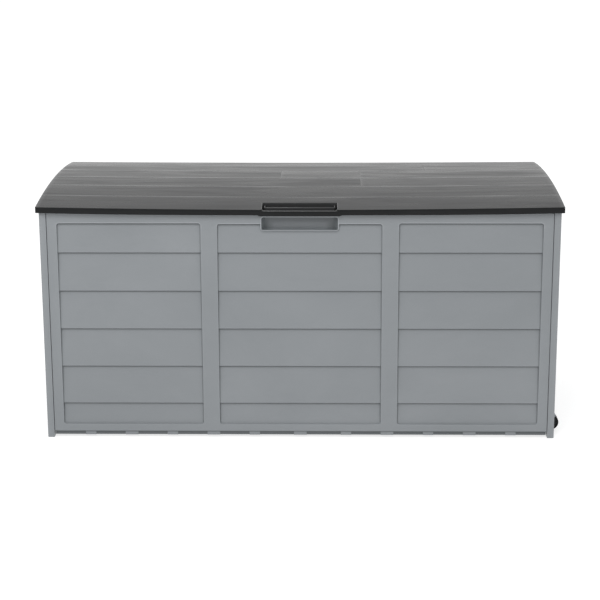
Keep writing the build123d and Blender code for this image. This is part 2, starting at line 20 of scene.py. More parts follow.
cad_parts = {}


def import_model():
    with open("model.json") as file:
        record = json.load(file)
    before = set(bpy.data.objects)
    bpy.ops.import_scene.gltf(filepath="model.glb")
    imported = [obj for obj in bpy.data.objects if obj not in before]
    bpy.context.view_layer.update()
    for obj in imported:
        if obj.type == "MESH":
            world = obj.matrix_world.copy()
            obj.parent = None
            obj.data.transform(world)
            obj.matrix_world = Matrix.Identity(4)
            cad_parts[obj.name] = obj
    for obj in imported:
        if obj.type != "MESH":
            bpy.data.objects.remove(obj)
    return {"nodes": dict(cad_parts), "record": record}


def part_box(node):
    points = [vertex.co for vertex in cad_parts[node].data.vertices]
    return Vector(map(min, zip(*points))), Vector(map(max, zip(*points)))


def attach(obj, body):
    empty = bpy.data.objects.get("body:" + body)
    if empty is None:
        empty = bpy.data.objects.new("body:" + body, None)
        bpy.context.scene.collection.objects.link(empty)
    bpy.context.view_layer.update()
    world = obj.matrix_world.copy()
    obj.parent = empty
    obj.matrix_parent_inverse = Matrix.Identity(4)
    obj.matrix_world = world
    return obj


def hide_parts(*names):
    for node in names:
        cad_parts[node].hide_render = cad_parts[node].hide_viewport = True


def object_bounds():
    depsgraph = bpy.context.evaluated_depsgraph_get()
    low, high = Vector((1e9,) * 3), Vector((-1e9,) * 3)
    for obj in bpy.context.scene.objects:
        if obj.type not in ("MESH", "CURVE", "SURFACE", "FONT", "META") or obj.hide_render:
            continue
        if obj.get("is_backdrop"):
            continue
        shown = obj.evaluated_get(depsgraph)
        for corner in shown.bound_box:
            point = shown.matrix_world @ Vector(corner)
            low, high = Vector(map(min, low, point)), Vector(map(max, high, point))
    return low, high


LOG = logging.getLogger("deck_box")
MM = 0.001

Point = tuple[float, float, float]
Outline = Sequence[tuple[float, float]]
Values = float | np.ndarray
Socket = bpy.types.NodeSocket


# ---------------------------------------------------------------- names and places
class Slot(Enum):
    """The record's material slots."""

    BODY = "body_plastic"
    LID = "lid_plastic"
    WHEEL = "wheel_plastic"
    PIN = "pin_steel"
    SCREW = "screw_steel"


class Along(Enum):
    """The direction that an outline is carried along, and what its two numbers stand for."""

    X = (0, 1, 2)
    Y = (1, 0, 2)
    Z = (2, 0, 1)

    def place(self, along: float, first: float, second: float) -> Point:
        """Point at a distance along the direction, and at the outline's two numbers."""
        numbers = dict(zip(self.value, (along, first, second)))
        return (numbers[0], numbers[1], numbers[2])


class Facing(Enum):
    """Which way a moulded panel's outer face looks.

    Each value holds the axis it looks along, which way along that axis leads inwards, and which way
    along the other level axis leads to the right, as seen from outside.
    """

    FRONT = (1, 1, 1)
    BACK = (1, -1, -1)
    LEFT = (0, 1, -1)
    RIGHT = (0, -1, 1)

    @property
    def inward(self) -> int:
        """1 where going inwards goes up the axis, and -1 where it goes down."""
        return self.value[1]

    def place(self, face: float, middle: float, u: np.ndarray, v: np.ndarray,
              depth: np.ndarray) -> np.ndarray:
        """World places of points on the panel.

        Args:
            face: Where the outer face stands, on the axis it looks along.
            middle: The panel's middle, on the axis it spreads along.
            u: Distance to the right of the middle, as seen from outside.
            v: Height.
            depth: Distance behind the outer face.

        Returns:
            One row of x, y, z for each point.
        """
        axis, inward, right = self.value
        columns = [middle + right * u, middle + right * u, v]
        columns[axis] = face + inward * depth
        return np.stack([np.broadcast_to(c, np.shape(depth)).ravel() for c in columns], axis=1)


@dataclass(frozen=True)
class Extent:
    """A CAD node's box, in millimetres."""

    low: Point
    high: Point

    @classmethod
    def of(cls, node: str) -> Extent:
        """The box of a node at rest."""
        low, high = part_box(node)
        return cls(tuple(c / MM for c in low), tuple(c / MM for c in high))

    @property
    def middle(self) -> Point:
        """The middle of the box."""
        return tuple((a + b) / 2 for a, b in zip(self.low, self.high))


# ---------------------------------------------------------------- numbers over a surface
def smooth_step(value: Values, low: float, high: float) -> Values:
    """Share from 0 at low to 1 at high, level at both ends."""
    share = np.clip((value - low) / (high - low), 0, 1)
    return share * share * (3 - 2 * share)


def ridge(value: Values, centre: float, width: float) -> Values:
    """1 along a line at a centre, fading out on both sides of it over a width."""
    return np.exp(-((value - centre) / width) ** 2)


def between(span: tuple[float, float], share: Values) -> Values:
    """Number at a share of the way from the first of two to the second."""
    return span[0] + (span[1] - span[0]) * share


def value_noise(x: np.ndarray, y: np.ndarray, seed: int) -> np.ndarray:
    """Smooth noise over a plane.

    Args:
        x: First coordinate, one wave for each unit.
        y: Second coordinate.
        seed: Number that picks the pattern.

    Returns:
        Values from 0 to 1.
    """
    size = 256
    table = np.random.default_rng(seed).random((size, size))
    x_cell, y_cell = np.floor(x).astype(int), np.floor(y).astype(int)
    x_share = smooth_step(x - x_cell, 0, 1)
    y_share = smooth_step(y - y_cell, 0, 1)
    x_low, x_high = x_cell % size, (x_cell + 1) % size
    y_low, y_high = y_cell % size, (y_cell + 1) % size
    low = table[x_low, y_low] * (1 - x_share) + table[x_high, y_low] * x_share
    high = table[x_low, y_high] * (1 - x_share) + table[x_high, y_high] * x_share
    return low * (1 - y_share) + high * y_share


def graded_lines(low: float, high: float, step: float, places: Iterable[float]) -> np.ndarray:
    """Grid lines at certain places, and even ones wherever those leave room.

    Args:
        low: First line.
        high: Last line.
        step: Distance between the even lines.
        places: Where the other lines go.

    Returns:
        The lines, in rising order.
    """
    near = sorted({round(p, 4) for p in places if low < p < high})
    clear = min(0.6 * step, 2.0)
    even = [c for c in np.linspace(low, high, max(2, round((high - low) / step) + 1))[1:-1]
            if not near or np.min(np.abs(np.array(near) - c)) > clear]
    lines = np.array(sorted([low, high] + near + even))
    return lines[np.concatenate([[True], np.diff(lines) > 1e-3])]


@dataclass(frozen=True)
class RoundedRectangle:
    """A rounded rectangle on a panel's face."""

    low_u: float
    high_u: float
    low_v: float
    high_v: float
    corner: float = 0.0

    def inside(self, u: np.ndarray, v: np.ndarray) -> np.ndarray:
        """Distance inside the edge, negative outside it.

        Args:
            u: Distance to the right of the middle.
            v: Height.

        Returns:
            The distance at each point.
        """
        across = np.abs(u - (self.low_u + self.high_u) / 2) - (self.high_u - self.low_u) / 2 + self.corner
        up = np.abs(v - (self.low_v + self.high_v) / 2) - (self.high_v - self.low_v) / 2 + self.corner
        outside = np.hypot(np.maximum(across, 0), np.maximum(up, 0))
        return self.corner - outside - np.minimum(np.maximum(across, up), 0)


def grid_cells(keep: np.ndarray) -> np.ndarray:
    """Four corner numbers of each kept cell of a grid, anticlockwise from outside.

    Args:
        keep: True for each cell that is kept, rows first.

    Returns:
        One row of four vertex numbers for each cell.
    """
    rows, columns = keep.shape
    row, column = np.nonzero(keep)
    first = row * (columns + 1) + column
    return np.stack([first, first + 1, first + columns + 2, first + columns + 1], axis=1)


def cell_middles(first: np.ndarray, second: np.ndarray) -> tuple[np.ndarray, np.ndarray]:
    """Middles of a grid's cells, from its lines in both directions."""
    return tuple(np.meshgrid((first[1:] + first[:-1]) / 2, (second[1:] + second[:-1]) / 2))


def outward_ways(points: np.ndarray, loop: Sequence[int]) -> list[tuple[int, complex]]:
    """Ways out of a sheet along its edge, fanned out round its outer corners.

    Args:
        points: Places of the sheet's vertices.
        loop: The edge's vertices in order, with the sheet on their left.

    Returns:
        A vertex and a way out for each step: its real part along X, its imaginary part along Y.
    """
    flat = points[:, 0] + 1j * points[:, 1]
    ways = []
    for before, here, after in zip(loop[-1:] + loop[:-1], loop, loop[1:] + loop[:1]):
        arriving, leaving = flat[here] - flat[before], flat[after] - flat[here]
        first, last = -1j * arriving / abs(arriving), -1j * leaving / abs(leaving)
        turn = (first.conjugate() * last).imag
        if turn > 0.5:
            ways += [(here, first * math.cos(t) + last * math.sin(t)) for t in np.linspace(0, math.pi / 2, 6)]
        else:
            ways.append((here, first + last if turn < -0.5 else first))
    return ways


def boundary_loops(cells: np.ndarray) -> list[list[int]]:
    """Loops of vertices round the edges of a sheet, with the sheet on their left.

    Args:
        cells: Four vertex numbers of each cell, anticlockwise.

    Returns:
        The vertices of each loop.
    """
    starts = cells.ravel()
    ends = np.roll(cells, -1, axis=1).ravel()
    directed = set(zip(starts.tolist(), ends.tolist()))
    follow = {a: b for a, b in directed if (b, a) not in directed}
    loops = []
    while follow:
        first = min(follow)
        loop = [first]
        current = follow.pop(first)
        while current != first:
            loop.append(current)
            current = follow.pop(current)
        loops.append(loop)
    return loops


def walls(cells: np.ndarray, near: int, far: int) -> list[tuple[int, int, int, int]]:
    """Faces round the edges of a sheet, between two copies of it.

    Args:
        cells: Four vertex numbers of each cell, anticlockwise.
        near: What one copy adds to the numbers.
        far: What the other copy adds.

    Returns:
        Four vertex numbers for each face.
    """
    return [(b + near, a + near, a + far, b + far)
            for loop in boundary_loops(cells) for a, b in zip(loop, loop[1:] + loop[:1])]


# ---------------------------------------------------------------- meshes
# Edges sharper than this are rounded, in degrees: those of a drawn prism, and those of a CAD solid.
PRISM_SHARP = 25.0
SOLID_SHARP = 40.0


def round_edges(mesh: bmesh.types.BMesh, sharper_than: float, radius: float) -> None:
    """Round the edges of a mesh that are sharper than an angle, in degrees."""
    sharp = [e for e in mesh.edges if e.calc_face_angle(0.0) > math.radians(sharper_than)]
    bmesh.ops.bevel(mesh, geom=sharp, offset=radius, segments=2, profile=0.5, affect="EDGES",
                    clamp_overlap=True)


def faces_between_rings(rings: int, size: int, closed: bool) -> list[tuple[int, ...]]:
    """Faces that join rings of vertices to each other.

    Args:
        rings: How many rings there are.
        size: How many vertices each ring has.
        closed: Whether the last ring joins the first.

    Returns:
        Four vertex numbers for each face.
    """
    pairs = [(r * size, (r + 1) % rings * size) for r in range(rings if closed else rings - 1)]
    return [(here + i, there + i, there + (i + 1) % size, here + (i + 1) % size)
            for here, there in pairs for i in range(size)]


class Mark(Enum):
    """Numbers that a mesh stores at its vertices for its material: painted highlight, painted shade, and the
    wood grain's shift.
    """

    WORN = "worn"
    CREASE = "crease"
    PLANK = "plank"


class Sketch:
    """One piece's mesh while it is being drawn, in millimetres."""

    def __init__(self) -> None:
        """Start with nothing drawn."""
        self.points: list[np.ndarray] = []
        self.marks: dict[Mark, list[np.ndarray]] = {mark: [] for mark in Mark}
        self.faces: list[Sequence[int]] = []
        self.count = 0

    def add(self, points: np.ndarray, faces: Iterable[Sequence[int]],
            marks: dict[Mark, np.ndarray] | None = None) -> int:
        """Add a part of the mesh.

        Args:
            points: One row of x, y, z for each vertex.
            faces: Vertex numbers of each face, counted within ``points``.
            marks: Numbers for each vertex: how much painted highlight it has and how much painted shade, from
                0 to 1,
            and what shifts its wood grain. What isn't given is 0.

        Returns:
            The number of the first vertex added.
        """
        points = np.asarray(points, float).reshape(-1, 3)
        first = self.count
        self.points.append(points)
        for mark, values in self.marks.items():
            given = (marks or {}).get(mark)
            values.append(np.zeros(len(points)) if given is None else np.ravel(given))
        self.faces.extend([tuple(int(i) + first for i in face) for face in faces])
        self.count += len(points)
        return first

    def prism(self, outline: Outline, along: Along, low: float, high: float,
              soften: float = 0.5, worn: float = 0.0) -> None:
        """Add an outline carried along an axis, with its edges rounded.

        Args:
            outline: Corners, as the two numbers of ``along``.
            along: The direction it is carried along.
            low: Where it starts.
            high: Where it ends.
            soften: Radius of its edges.
            worn: How much painted highlight it has.
        """
        mesh = bmesh.new()
        rings = [[mesh.verts.new(along.place(at, a, b)) for a, b in outline] for at in (low, high)]
        mesh.faces.new(rings[0][::-1])
        mesh.faces.new(rings[1])
        for i, j in zip(range(len(outline)), [*range(1, len(outline)), 0]):
            mesh.faces.new((rings[0][i], rings[0][j], rings[1][j], rings[1][i]))
        bmesh.ops.recalc_face_normals(mesh, faces=mesh.faces)
        round_edges(mesh, PRISM_SHARP, soften)
        self.take(mesh, worn)

    def block(self, low: Point, high: Point, soften: float = 0.5, worn: float = 0.0) -> None:
        """Add a box between two corners, with its edges rounded."""
        corners = [(low[1], low[2]), (high[1], low[2]), (high[1], high[2]), (low[1], high[2])]
        self.prism(corners, Along.X, low[0], high[0], soften, worn)

    def lathe(self, profile: Outline, along: Along, centre: Point, segments: int) -> None:
        """Add a turned ring, whose profile closes on itself.

        Args:
            profile: Distances along the axis, and the radius at each.
            along: The direction of the axis.
            centre: Where distance 0 on the axis is.
            segments: Faces round the axis.
        """
        turns = 2 * np.pi * np.arange(segments) / segments
        middle, first, second = (centre[axis] for axis in along.value)
        mesh = bmesh.new()
        corners = [mesh.verts.new(along.place(middle + at, first + radius * math.cos(t),
                                              second + radius * math.sin(t)))
                   for at, radius in profile for t in turns]
        for face in faces_between_rings(len(profile), segments, closed=True):
            mesh.faces.new([corners[i] for i in face])
        bmesh.ops.recalc_face_normals(mesh, faces=mesh.faces)
        self.take(mesh)

    def bead(self, path: Sequence[Point], radius: float, worn: float) -> None:
        """Add a thin rounded bead along a path, open at its ends.

        Args:
            path: The points that it follows.
            radius: Half of its thickness.
            worn: How much painted highlight it has.
        """
        line = np.array(path)
        ahead = np.gradient(line, axis=0)
        ahead /= np.linalg.norm(ahead, axis=1, keepdims=True)
        side = np.cross(ahead, (0.0, 0.0, 1.0))
        side /= np.linalg.norm(side, axis=1, keepdims=True)
        up = np.cross(side, ahead)
        size = 8
        turns = 2 * np.pi * np.arange(size) / size
        rings = [line + radius * (math.cos(t) * side + math.sin(t) * up) for t in turns]
        points = np.stack(rings, axis=1).reshape(-1, 3)
        faces = faces_between_rings(len(line), size, closed=False)
        faces += [tuple(range(size)), tuple(range(len(points) - 1, len(points) - size - 1, -1))]
        self.add(points, faces, {Mark.WORN: np.full(len(points), worn)})

    def take(self, mesh: bmesh.types.BMesh, worn: float = 0.0) -> None:
        """Add a finished bmesh, with an even painted highlight, and free it.

        Args:
            mesh: The bmesh, in millimetres.
            worn: How much painted highlight it has.
        """
        mesh.verts.index_update()
        points = np.array([v.co for v in mesh.verts], float)
        faces = [[v.index for v in f.verts] for f in mesh.faces]
        mesh.free()
        self.add(points, faces, {Mark.WORN: np.full(len(points), worn)})

    def build(self, name: str, finish: Finish, sharp_angle: float = 38.0) -> bpy.types.Object:
        """Make the Blender object.

        Args:
            name: The piece's name.
            finish: What it is made of.
            sharp_angle: Edges sharper than this keep a hard shade, in degrees.

        Returns:
            The object, in metres, with its material.
        """
        mesh = bpy.data.meshes.new(name)
        mesh.from_pydata((np.concatenate(self.points) * MM).tolist(), [], self.faces)
        for mark, values in self.marks.items():
            attribute = mesh.attributes.new(mark.value, "FLOAT", "POINT")
            attribute.data.foreach_set("value", np.concatenate(values).astype(np.float32))
        mesh.update()
        mesh.shade_smooth()
        mesh.set_sharp_from_angle(angle=math.radians(sharp_angle))
        piece = bpy.data.objects.new(name, mesh)
        bpy.context.scene.collection.objects.link(piece)
        mesh.materials.append(finish.material())
        return piece


def softened(node: str, soften: float) -> Sketch:
    """Sketch a CAD node's solid with its hard edges rounded.

    Args:
        node: The CAD node.
        soften: Radius of its edges.

    Returns:
        The sketch.
    """
    mesh = bmesh.new()
    mesh.from_mesh(FRAME.nodes[node].data)
    bmesh.ops.scale(mesh, vec=(1 / MM, 1 / MM, 1 / MM), verts=mesh.verts)
    bmesh.ops.remove_doubles(mesh, verts=mesh.verts, dist=0.002)
    bmesh.ops.dissolve_limit(mesh, angle_limit=math.radians(0.5), verts=mesh.verts, edges=mesh.edges)
    round_edges(mesh, SOLID_SHARP, soften)
    bmesh.ops.triangulate(mesh, faces=[f for f in mesh.faces if len(f.verts) > 4])
    sketch = Sketch()
    sketch.take(mesh)
    return sketch


# ---------------------------------------------------------------- shader nodes
@dataclass(frozen=True)
class Pattern:
    """Noise over a piece: its waves to the metre along each axis, and how they break up."""

    waves: Point
    detail: float = 3.0
    roughness: float = 0.5
    distortion: float = 0.0


class ShaderSketch:
    """A node tree, wired through short calls."""

    def __init__(self, tree: bpy.types.NodeTree, shader: str) -> None:
        """Start from a tree's own shader, found by its name."""
        self.tree = tree
        self.shader = tree.nodes[shader]

    def fill(self, node: bpy.types.Node, inputs: dict[str | int, Any]) -> None:
        """Wire each input that is given a socket, and set each that is given a value.

        Args:
            node: The node.
            inputs: A socket or a value for each input, by its name or its number.
        """
        for key, value in inputs.items():
            if isinstance(value, Socket):
                self.tree.links.new(value, node.inputs[key])
            else:
                node.inputs[key].default_value = value

    def node(self, kind: str, inputs: dict[str | int, Any] | None = None, **settings: Any) -> bpy.types.Node:
        """Add a node with its inputs and some of its settings.

        Args:
            kind: The node's type, as its class name ends.
            inputs: A socket or a value for each input.
            **settings: Values of its properties.

        Returns:
            The node.
        """
        node = self.tree.nodes.new(f"ShaderNode{kind}")
        for key, value in settings.items():
            setattr(node, key, value)
        self.fill(node, inputs or {})
        return node

    def shade(self, inputs: dict[str | int, Any]) -> None:
        """Give the shader its inputs."""
        self.fill(self.shader, inputs)

    def attribute(self, mark: Mark) -> Socket:
        """A number stored on the mesh."""
        return self.node("Attribute", attribute_name=mark.value).outputs["Fac"]

    def coordinates(self, kind: str = "Object") -> Socket:
        """Places on the piece, in its own coordinates, or ways to look for "Generated" in a world."""
        found = self.tree.nodes.get("Texture Coordinate") or self.node("TexCoord")
        return found.outputs[kind]

    def noise(self, pattern: Pattern, shift: Socket | None = None) -> Socket:
        """Lay noise over the piece.

        Args:
            pattern: Its waves.
            shift: What is added to all three coordinates, where given.

        Returns:
            Noise from 0 to 1.
        """
        mapping = self.node("Mapping", {"Vector": self.coordinates(), "Scale": pattern.waves})
        vector = mapping.outputs["Vector"]
        if shift is not None:
            shifts = self.node("CombineXYZ", {0: shift, 1: shift, 2: shift}).outputs[0]
            vector = self.node("VectorMath", {0: vector, 1: shifts}, operation="ADD").outputs[0]
        return self.node("TexNoise", {"Vector": vector, "Scale": 1.0, "Detail": pattern.detail,
                                      "Roughness": pattern.roughness,
                                      "Distortion": pattern.distortion}).outputs["Fac"]

    def ranged(self, value: Socket, source: tuple[float, float],
               target: tuple[float, float] = (0.0, 1.0)) -> Socket:
        """A number moved from one range to another."""
        return self.node("MapRange", {"Value": value, "From Min": source[0], "From Max": source[1],
                                      "To Min": target[0], "To Max": target[1]}).outputs["Result"]

    def sum(self, first: Socket, second: Socket) -> Socket:
        """Two numbers added."""
        return self.node("Math", {0: first, 1: second}, operation="ADD").outputs[0]

    def blend(self, factor: Socket, first: Socket | Point, second: Socket | Point) -> Socket:
        """A colour between two, by a number."""
        first, second = ((*c, 1.0) if isinstance(c, tuple) else c for c in (first, second))
        return self.node("Mix", {0: factor, 6: first, 7: second}, data_type="RGBA").outputs[2]

    def bump(self, height: Socket, distance: float, strength: float,
             below: Socket | None = None) -> Socket:
        """Bump the surface.

        Args:
            height: What the bumps follow.
            distance: Their height, in millimetres.
            strength: How strongly they show, from 0 to 1.
            below: A bumped normal that they lie on.

        Returns:
            The normal.
        """
        inputs = {"Height": height, "Distance": distance * MM, "Strength": strength}
        if below is not None:
            inputs["Normal"] = below
        return self.node("Bump", inputs).outputs["Normal"]


@dataclass(frozen=True)
class Finish:
    """What a piece is made of. Its material is made once and shared."""

    name: str
    slot: Slot

    def material(self) -> bpy.types.Material:
        """Make the material, or find it when it is there already.

        Returns:
            The material.
        """
        found = bpy.data.materials.get(self.name)
        if found is not None:
            return found
        material = bpy.data.materials.new(self.name)
        material.use_nodes = True
        self.wire(ShaderSketch(material.node_tree, "Principled BSDF"))
        return material

    def wire(self, sketch: ShaderSketch) -> None:
        """Fill in the material's nodes."""
        raise NotImplementedError


@dataclass(frozen=True)
class MouldedPlastic(Finish):
    """Satin moulded plastic: faint clouding, fine texture, painted highlights paler along edges, painted
    shade darker in creases.
    """

    colour: Point = (0.221, 0.236, 0.248)
    cloud_colour: Point = (0.243, 0.258, 0.271)
    # The pale colour serves both the specks and the painted highlights; the dark one is painted shade.
    highlight_and_speck_colour: Point = (0.37, 0.39, 0.41)
    painted_shade_colour: Point = (0.060, 0.070, 0.073)
    roughness: tuple[float, float] = (0.40, 0.56)
    gloss: float = 0.35
    clouds: Pattern = Pattern((3.1, 3.1, 4.3), 4, 0.6, 0.6)
    cloud_range: tuple[float, float] = (0.32, 0.68)
    specks: Pattern = Pattern((650, 650, 650), 2, 0.7)
    speck_range: tuple[float, float] = (0.62, 0.85)
    speck_share: float = 0.25
    flow: Pattern = Pattern((9, 9, 60), 3, 0.55)
    flow_range: tuple[float, float] = (0.3, 0.7)
    texture: float = 0.05
    speck_bump: float = 0.35
    flow_bump: float = 0.12

    def wire(self, sketch: ShaderSketch) -> None:
        """Clouds and flow lines in the colour, painted highlight and painted shade from the mesh's marks,
        texture in the normal.

        Args:
            sketch: The material's nodes.
        """
        clouds, specks, flow = (sketch.noise(p) for p in (self.clouds, self.specks, self.flow))
        mixed = sketch.blend(sketch.ranged(clouds, self.cloud_range), self.colour, self.cloud_colour)
        pale = sketch.ranged(specks, self.speck_range, (0.0, self.speck_share))
        speckled = sketch.blend(pale, mixed, self.highlight_and_speck_colour)
        # Painted highlight: paler where the mesh's mark says an edge catches the light.
        highlighted = sketch.blend(sketch.attribute(Mark.WORN), speckled, self.highlight_and_speck_colour)
        # Painted shade: darker where the mesh's mark says shade falls, in creases, recesses and gaps.
        shaded = sketch.blend(sketch.attribute(Mark.CREASE), highlighted, self.painted_shade_colour)
        roughness = sketch.ranged(flow, self.flow_range, self.roughness)
        fine = sketch.bump(specks, self.texture, self.speck_bump)
        sketch.shade({"Base Color": shaded, "Roughness": roughness, "Specular IOR Level": self.gloss,
                      "Normal": sketch.bump(flow, self.texture, self.flow_bump, fine)})


@dataclass(frozen=True)
class GrainedPlastic(Finish):
    """Charcoal plastic embossed like planed wood, with painted highlights along the edges of its planks, and
    less gloss on its skirt as painted shade.
    """

    colour: Point = (0.0085, 0.0090, 0.0095)
    streak_colour: Point = (0.012, 0.0125, 0.013)
    # The pale colour paints highlights along the planks' edges.
    highlight_and_speck_colour: Point = (0.13, 0.132, 0.134)
    roughness: tuple[float, float] = (0.22, 0.36)
    gloss: float = 0.26
    # Lower gloss down the skirt: painted shade that makes it read darker.
    side_gloss: float = 0.16
    # Extra gloss on the painted highlight lines.
    highlight_gloss: float = 0.5
    figure: Pattern = Pattern((7, 120, 40), 5, 0.62, 1.1)
    figure_range: tuple[float, float] = (0.48, 0.74)
    fibre: Pattern = Pattern((26, 620, 300), 3, 0.6, 0.3)
    broad: Pattern = Pattern((3.5, 26, 12), 3, 0.6, 0.8)
    broad_range: tuple[float, float] = (0.32, 0.68)
    grain: float = 0.12
    figure_bump: float = 0.3
    fibre_bump: float = 0.16

    def wire(self, sketch: ShaderSketch) -> None:
        """Grain that runs along the planks, from broad figure down to pores.

        Args:
            sketch: The material's nodes.
        """
        plank = sketch.attribute(Mark.PLANK)
        figure, fibre, broad = (sketch.noise(p, plank) for p in (self.figure, self.fibre, self.broad))
        streaks = sketch.blend(sketch.ranged(figure, self.figure_range), self.colour, self.streak_colour)
        # Painted highlight: pale lines where the planks' edges would catch the light.
        highlighted = sketch.blend(sketch.attribute(Mark.WORN), streaks, self.highlight_and_speck_colour)
        roughness = sketch.ranged(broad, self.broad_range, self.roughness)
        coarse = sketch.bump(figure, self.grain, self.figure_bump)
        normal = sketch.bump(fibre, self.grain, self.fibre_bump, coarse)
        # Painted shade: the shade mark lowers the gloss down the skirt.
        gloss = sketch.ranged(sketch.attribute(Mark.CREASE), (0.0, 1.0), (self.gloss, self.side_gloss))
        # The painted highlight lines also get extra gloss.
        highlight_extra_gloss = sketch.ranged(sketch.attribute(Mark.WORN), (0.0, 1.0), (0.0, self.highlight_gloss))
        sketch.shade({"Base Color": highlighted, "Roughness": roughness, "Normal": normal,
                      "Specular IOR Level": sketch.sum(gloss, highlight_extra_gloss)})


@dataclass(frozen=True)
class PlatedSteel(Finish):
    """Zinc-plated steel with a fine drawn grain."""

    colour: Point = (0.56, 0.565, 0.58)
    dull_colour: Point = (0.42, 0.42, 0.42)
    roughness: tuple[float, float] = (0.26, 0.46)
    patches: Pattern = Pattern((220, 220, 220), 4, 0.65)
    patch_range: tuple[float, float] = (0.35, 0.65)
    rough_range: tuple[float, float] = (0.3, 0.7)
    drawn: Pattern = Pattern((60, 1800, 1800), 2)
    drawn_depth: float = 0.02
    drawn_bump: float = 0.3

    def wire(self, sketch: ShaderSketch) -> None:
        """Dull patches and drawn lines.

        Args:
            sketch: The material's nodes.
        """
        patches, drawn = (sketch.noise(p) for p in (self.patches, self.drawn))
        colour = sketch.blend(sketch.ranged(patches, self.patch_range), self.colour, self.dull_colour)
        roughness = sketch.ranged(patches, self.rough_range, self.roughness)
        sketch.shade({"Base Color": colour, "Roughness": roughness, "Metallic": 1.0,
                      "Normal": sketch.bump(drawn, self.drawn_depth, self.drawn_bump)})


BODY_PLASTIC = MouldedPlastic("grey_panel_plastic", Slot.BODY)
LID_PLASTIC = GrainedPlastic("charcoal_lid_plastic", Slot.LID)
TYRE_PLASTIC = MouldedPlastic("black_tread_plastic", Slot.WHEEL, colour=(0.004, 0.004, 0.0045),
                              cloud_colour=(0.006, 0.006, 0.0065), highlight_and_speck_colour=(0.03, 0.03, 0.03),
                              painted_shade_colour=(0.002, 0.002, 0.002), roughness=(0.42, 0.6), gloss=0.15)
HUB_PLASTIC = MouldedPlastic("dark_hub_plastic", Slot.WHEEL, colour=(0.018, 0.020, 0.020),
                             cloud_colour=(0.023, 0.025, 0.025), highlight_and_speck_colour=(0.06, 0.06, 0.06),
                             painted_shade_colour=(0.008, 0.008, 0.008), roughness=(0.42, 0.6), gloss=0.2)
PIN_STEEL = PlatedSteel("zinc_pin_steel", Slot.PIN)
SCREW_STEEL = PlatedSteel("zinc_screw_steel", Slot.SCREW, colour=(0.5, 0.505, 0.52))


def stand_moulding(sketch: Sketch, node: str) -> bpy.types.Object:
    """Make a grey moulded piece from its sketch, and stand it for its CAD node.

    Args:
        sketch: The piece, drawn.
        node: The CAD node.

    Returns:
        The piece.
    """
    piece = sketch.build(f"{node}_moulding", BODY_PLASTIC)
    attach(piece, "box")
    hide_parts(node)
    return piece


# ---------------------------------------------------------------- hinge knuckles
HINGE_PINS = ("left_hinge_pin", "middle_hinge_pin", "right_hinge_pin")
PIN_HEAD = 1.6
PIN_TAIL = 3.0
LID_KNUCKLE = 24.0
BACK_KNUCKLE = 14.0
KNUCKLE_GAP = 0.5
KNUCKLE_RADIUS = 5.5
KNUCKLE_BORE = 2.6
KNUCKLE_CHAMFER = 0.6
KNUCKLE_FACES = 32


def hinge_place(pin: str) -> Point:
    """Middle of the hinge that a pin belongs to: its head is at its right end, its tail at the left."""
    extent = Extent.of(pin)
    return ((extent.low[0] + PIN_TAIL + extent.high[0] - PIN_HEAD) / 2, extent.middle[1], extent.middle[2])


def draw_knuckle(sketch: Sketch, low: float, width: float, pin: str) -> None:
    """Draw one knuckle round a hinge's pin.

    Args:
        sketch: Where it is drawn.
        low: Its left end.
        width: How far it reaches to the right.
        pin: The hinge's pin.
    """
    _, y, z = hinge_place(pin)
    radius, chamfer = KNUCKLE_RADIUS, KNUCKLE_CHAMFER
    profile = [(0, KNUCKLE_BORE), (0, radius - chamfer), (chamfer, radius), (width - chamfer, radius),
               (width, radius - chamfer), (width, KNUCKLE_BORE)]
    sketch.lathe(profile, Along.X, (low, y, z), KNUCKLE_FACES)


# ---------------------------------------------------------------- moulded panels
# Where grid lines stand round each kind of edge, measured inwards from it, or upwards from a foot.
OUTLINE_LINES = (0.0, 0.15, 0.4, 0.8, 1.3, 2.2, 3.0)
BAY_LINES = (-2.4, -1.6, -1.0, -0.35, -0.1, 0.15, 0.45, 0.9, 1.5, 2.2, 3.2, 4.4, 5.8)
RECESS_LINES = (-2.9, -2.4, -1.9, -1.0, -0.4, -0.1, 0.3, 0.8, 1.6, 2.6, 3.8, 5.2, 7.0, 9.0, 11.0, 13.0, 15.5)
FOOT_LINES = (-5.4, -4.0, -2.8, -1.8, -0.9, -0.06, 0.0, 0.22, 0.5, 0.9, 2.0)


def lines_inside(shapes: Iterable[RoundedRectangle], axis: str, offsets: Sequence[float]) -> set[float]:
    """Places at certain distances inside both edges of each rectangle, along its u or its v."""
    return {place for shape in shapes for offset in offsets
            for place in (getattr(shape, f"low_{axis}") + offset, getattr(shape, f"high_{axis}") - offset)}


@dataclass(frozen=True)
class Boards:
    """Overlapping boards: each leans in towards its top, behind the foot of the one above."""

    first_joint: float = 78.7
    pitch: float = 84.85
    joints: int = 5
    top_depth: float = 6.0
    foot_depth: float = 1.5
    foot_radius: float = 0.9
    undercut: float = 0.06

    @property
    def feet(self) -> list[float]:
        """Height of each board's foot, from the board below the first joint up."""
        return [self.first_joint + self.pitch * i for i in range(-1, self.joints)]

    def depth(self, v: np.ndarray) -> np.ndarray:
        """How far the boards' faces lie behind the panel's face, at each height.

        Args:
            v: The heights.

        Returns:
            The distances.
        """
        slope = (self.top_depth - self.foot_depth) / self.pitch
        heights, depths = [], []
        for foot in self.feet:
            heights += [foot - self.undercut, foot, foot + 0.25 * self.foot_radius, foot + self.foot_radius]
            depths += [self.top_depth, self.foot_depth + self.foot_radius,
                       self.foot_depth + 0.42 * self.foot_radius,
                       self.foot_depth + slope * self.foot_radius]
        heights.append(self.feet[-1] + self.pitch)
        depths.append(self.top_depth)
        return np.interp(v, heights, depths)

    def under_feet(self, v: np.ndarray, reach: float) -> np.ndarray:
        """How near each height lies below a board's foot: 1 at the foot, fading out over a reach."""
        below = np.min([np.where(v < foot - 0.01, foot - v, np.inf) for foot in self.feet], axis=0)
        return ridge(below, 0, reach)


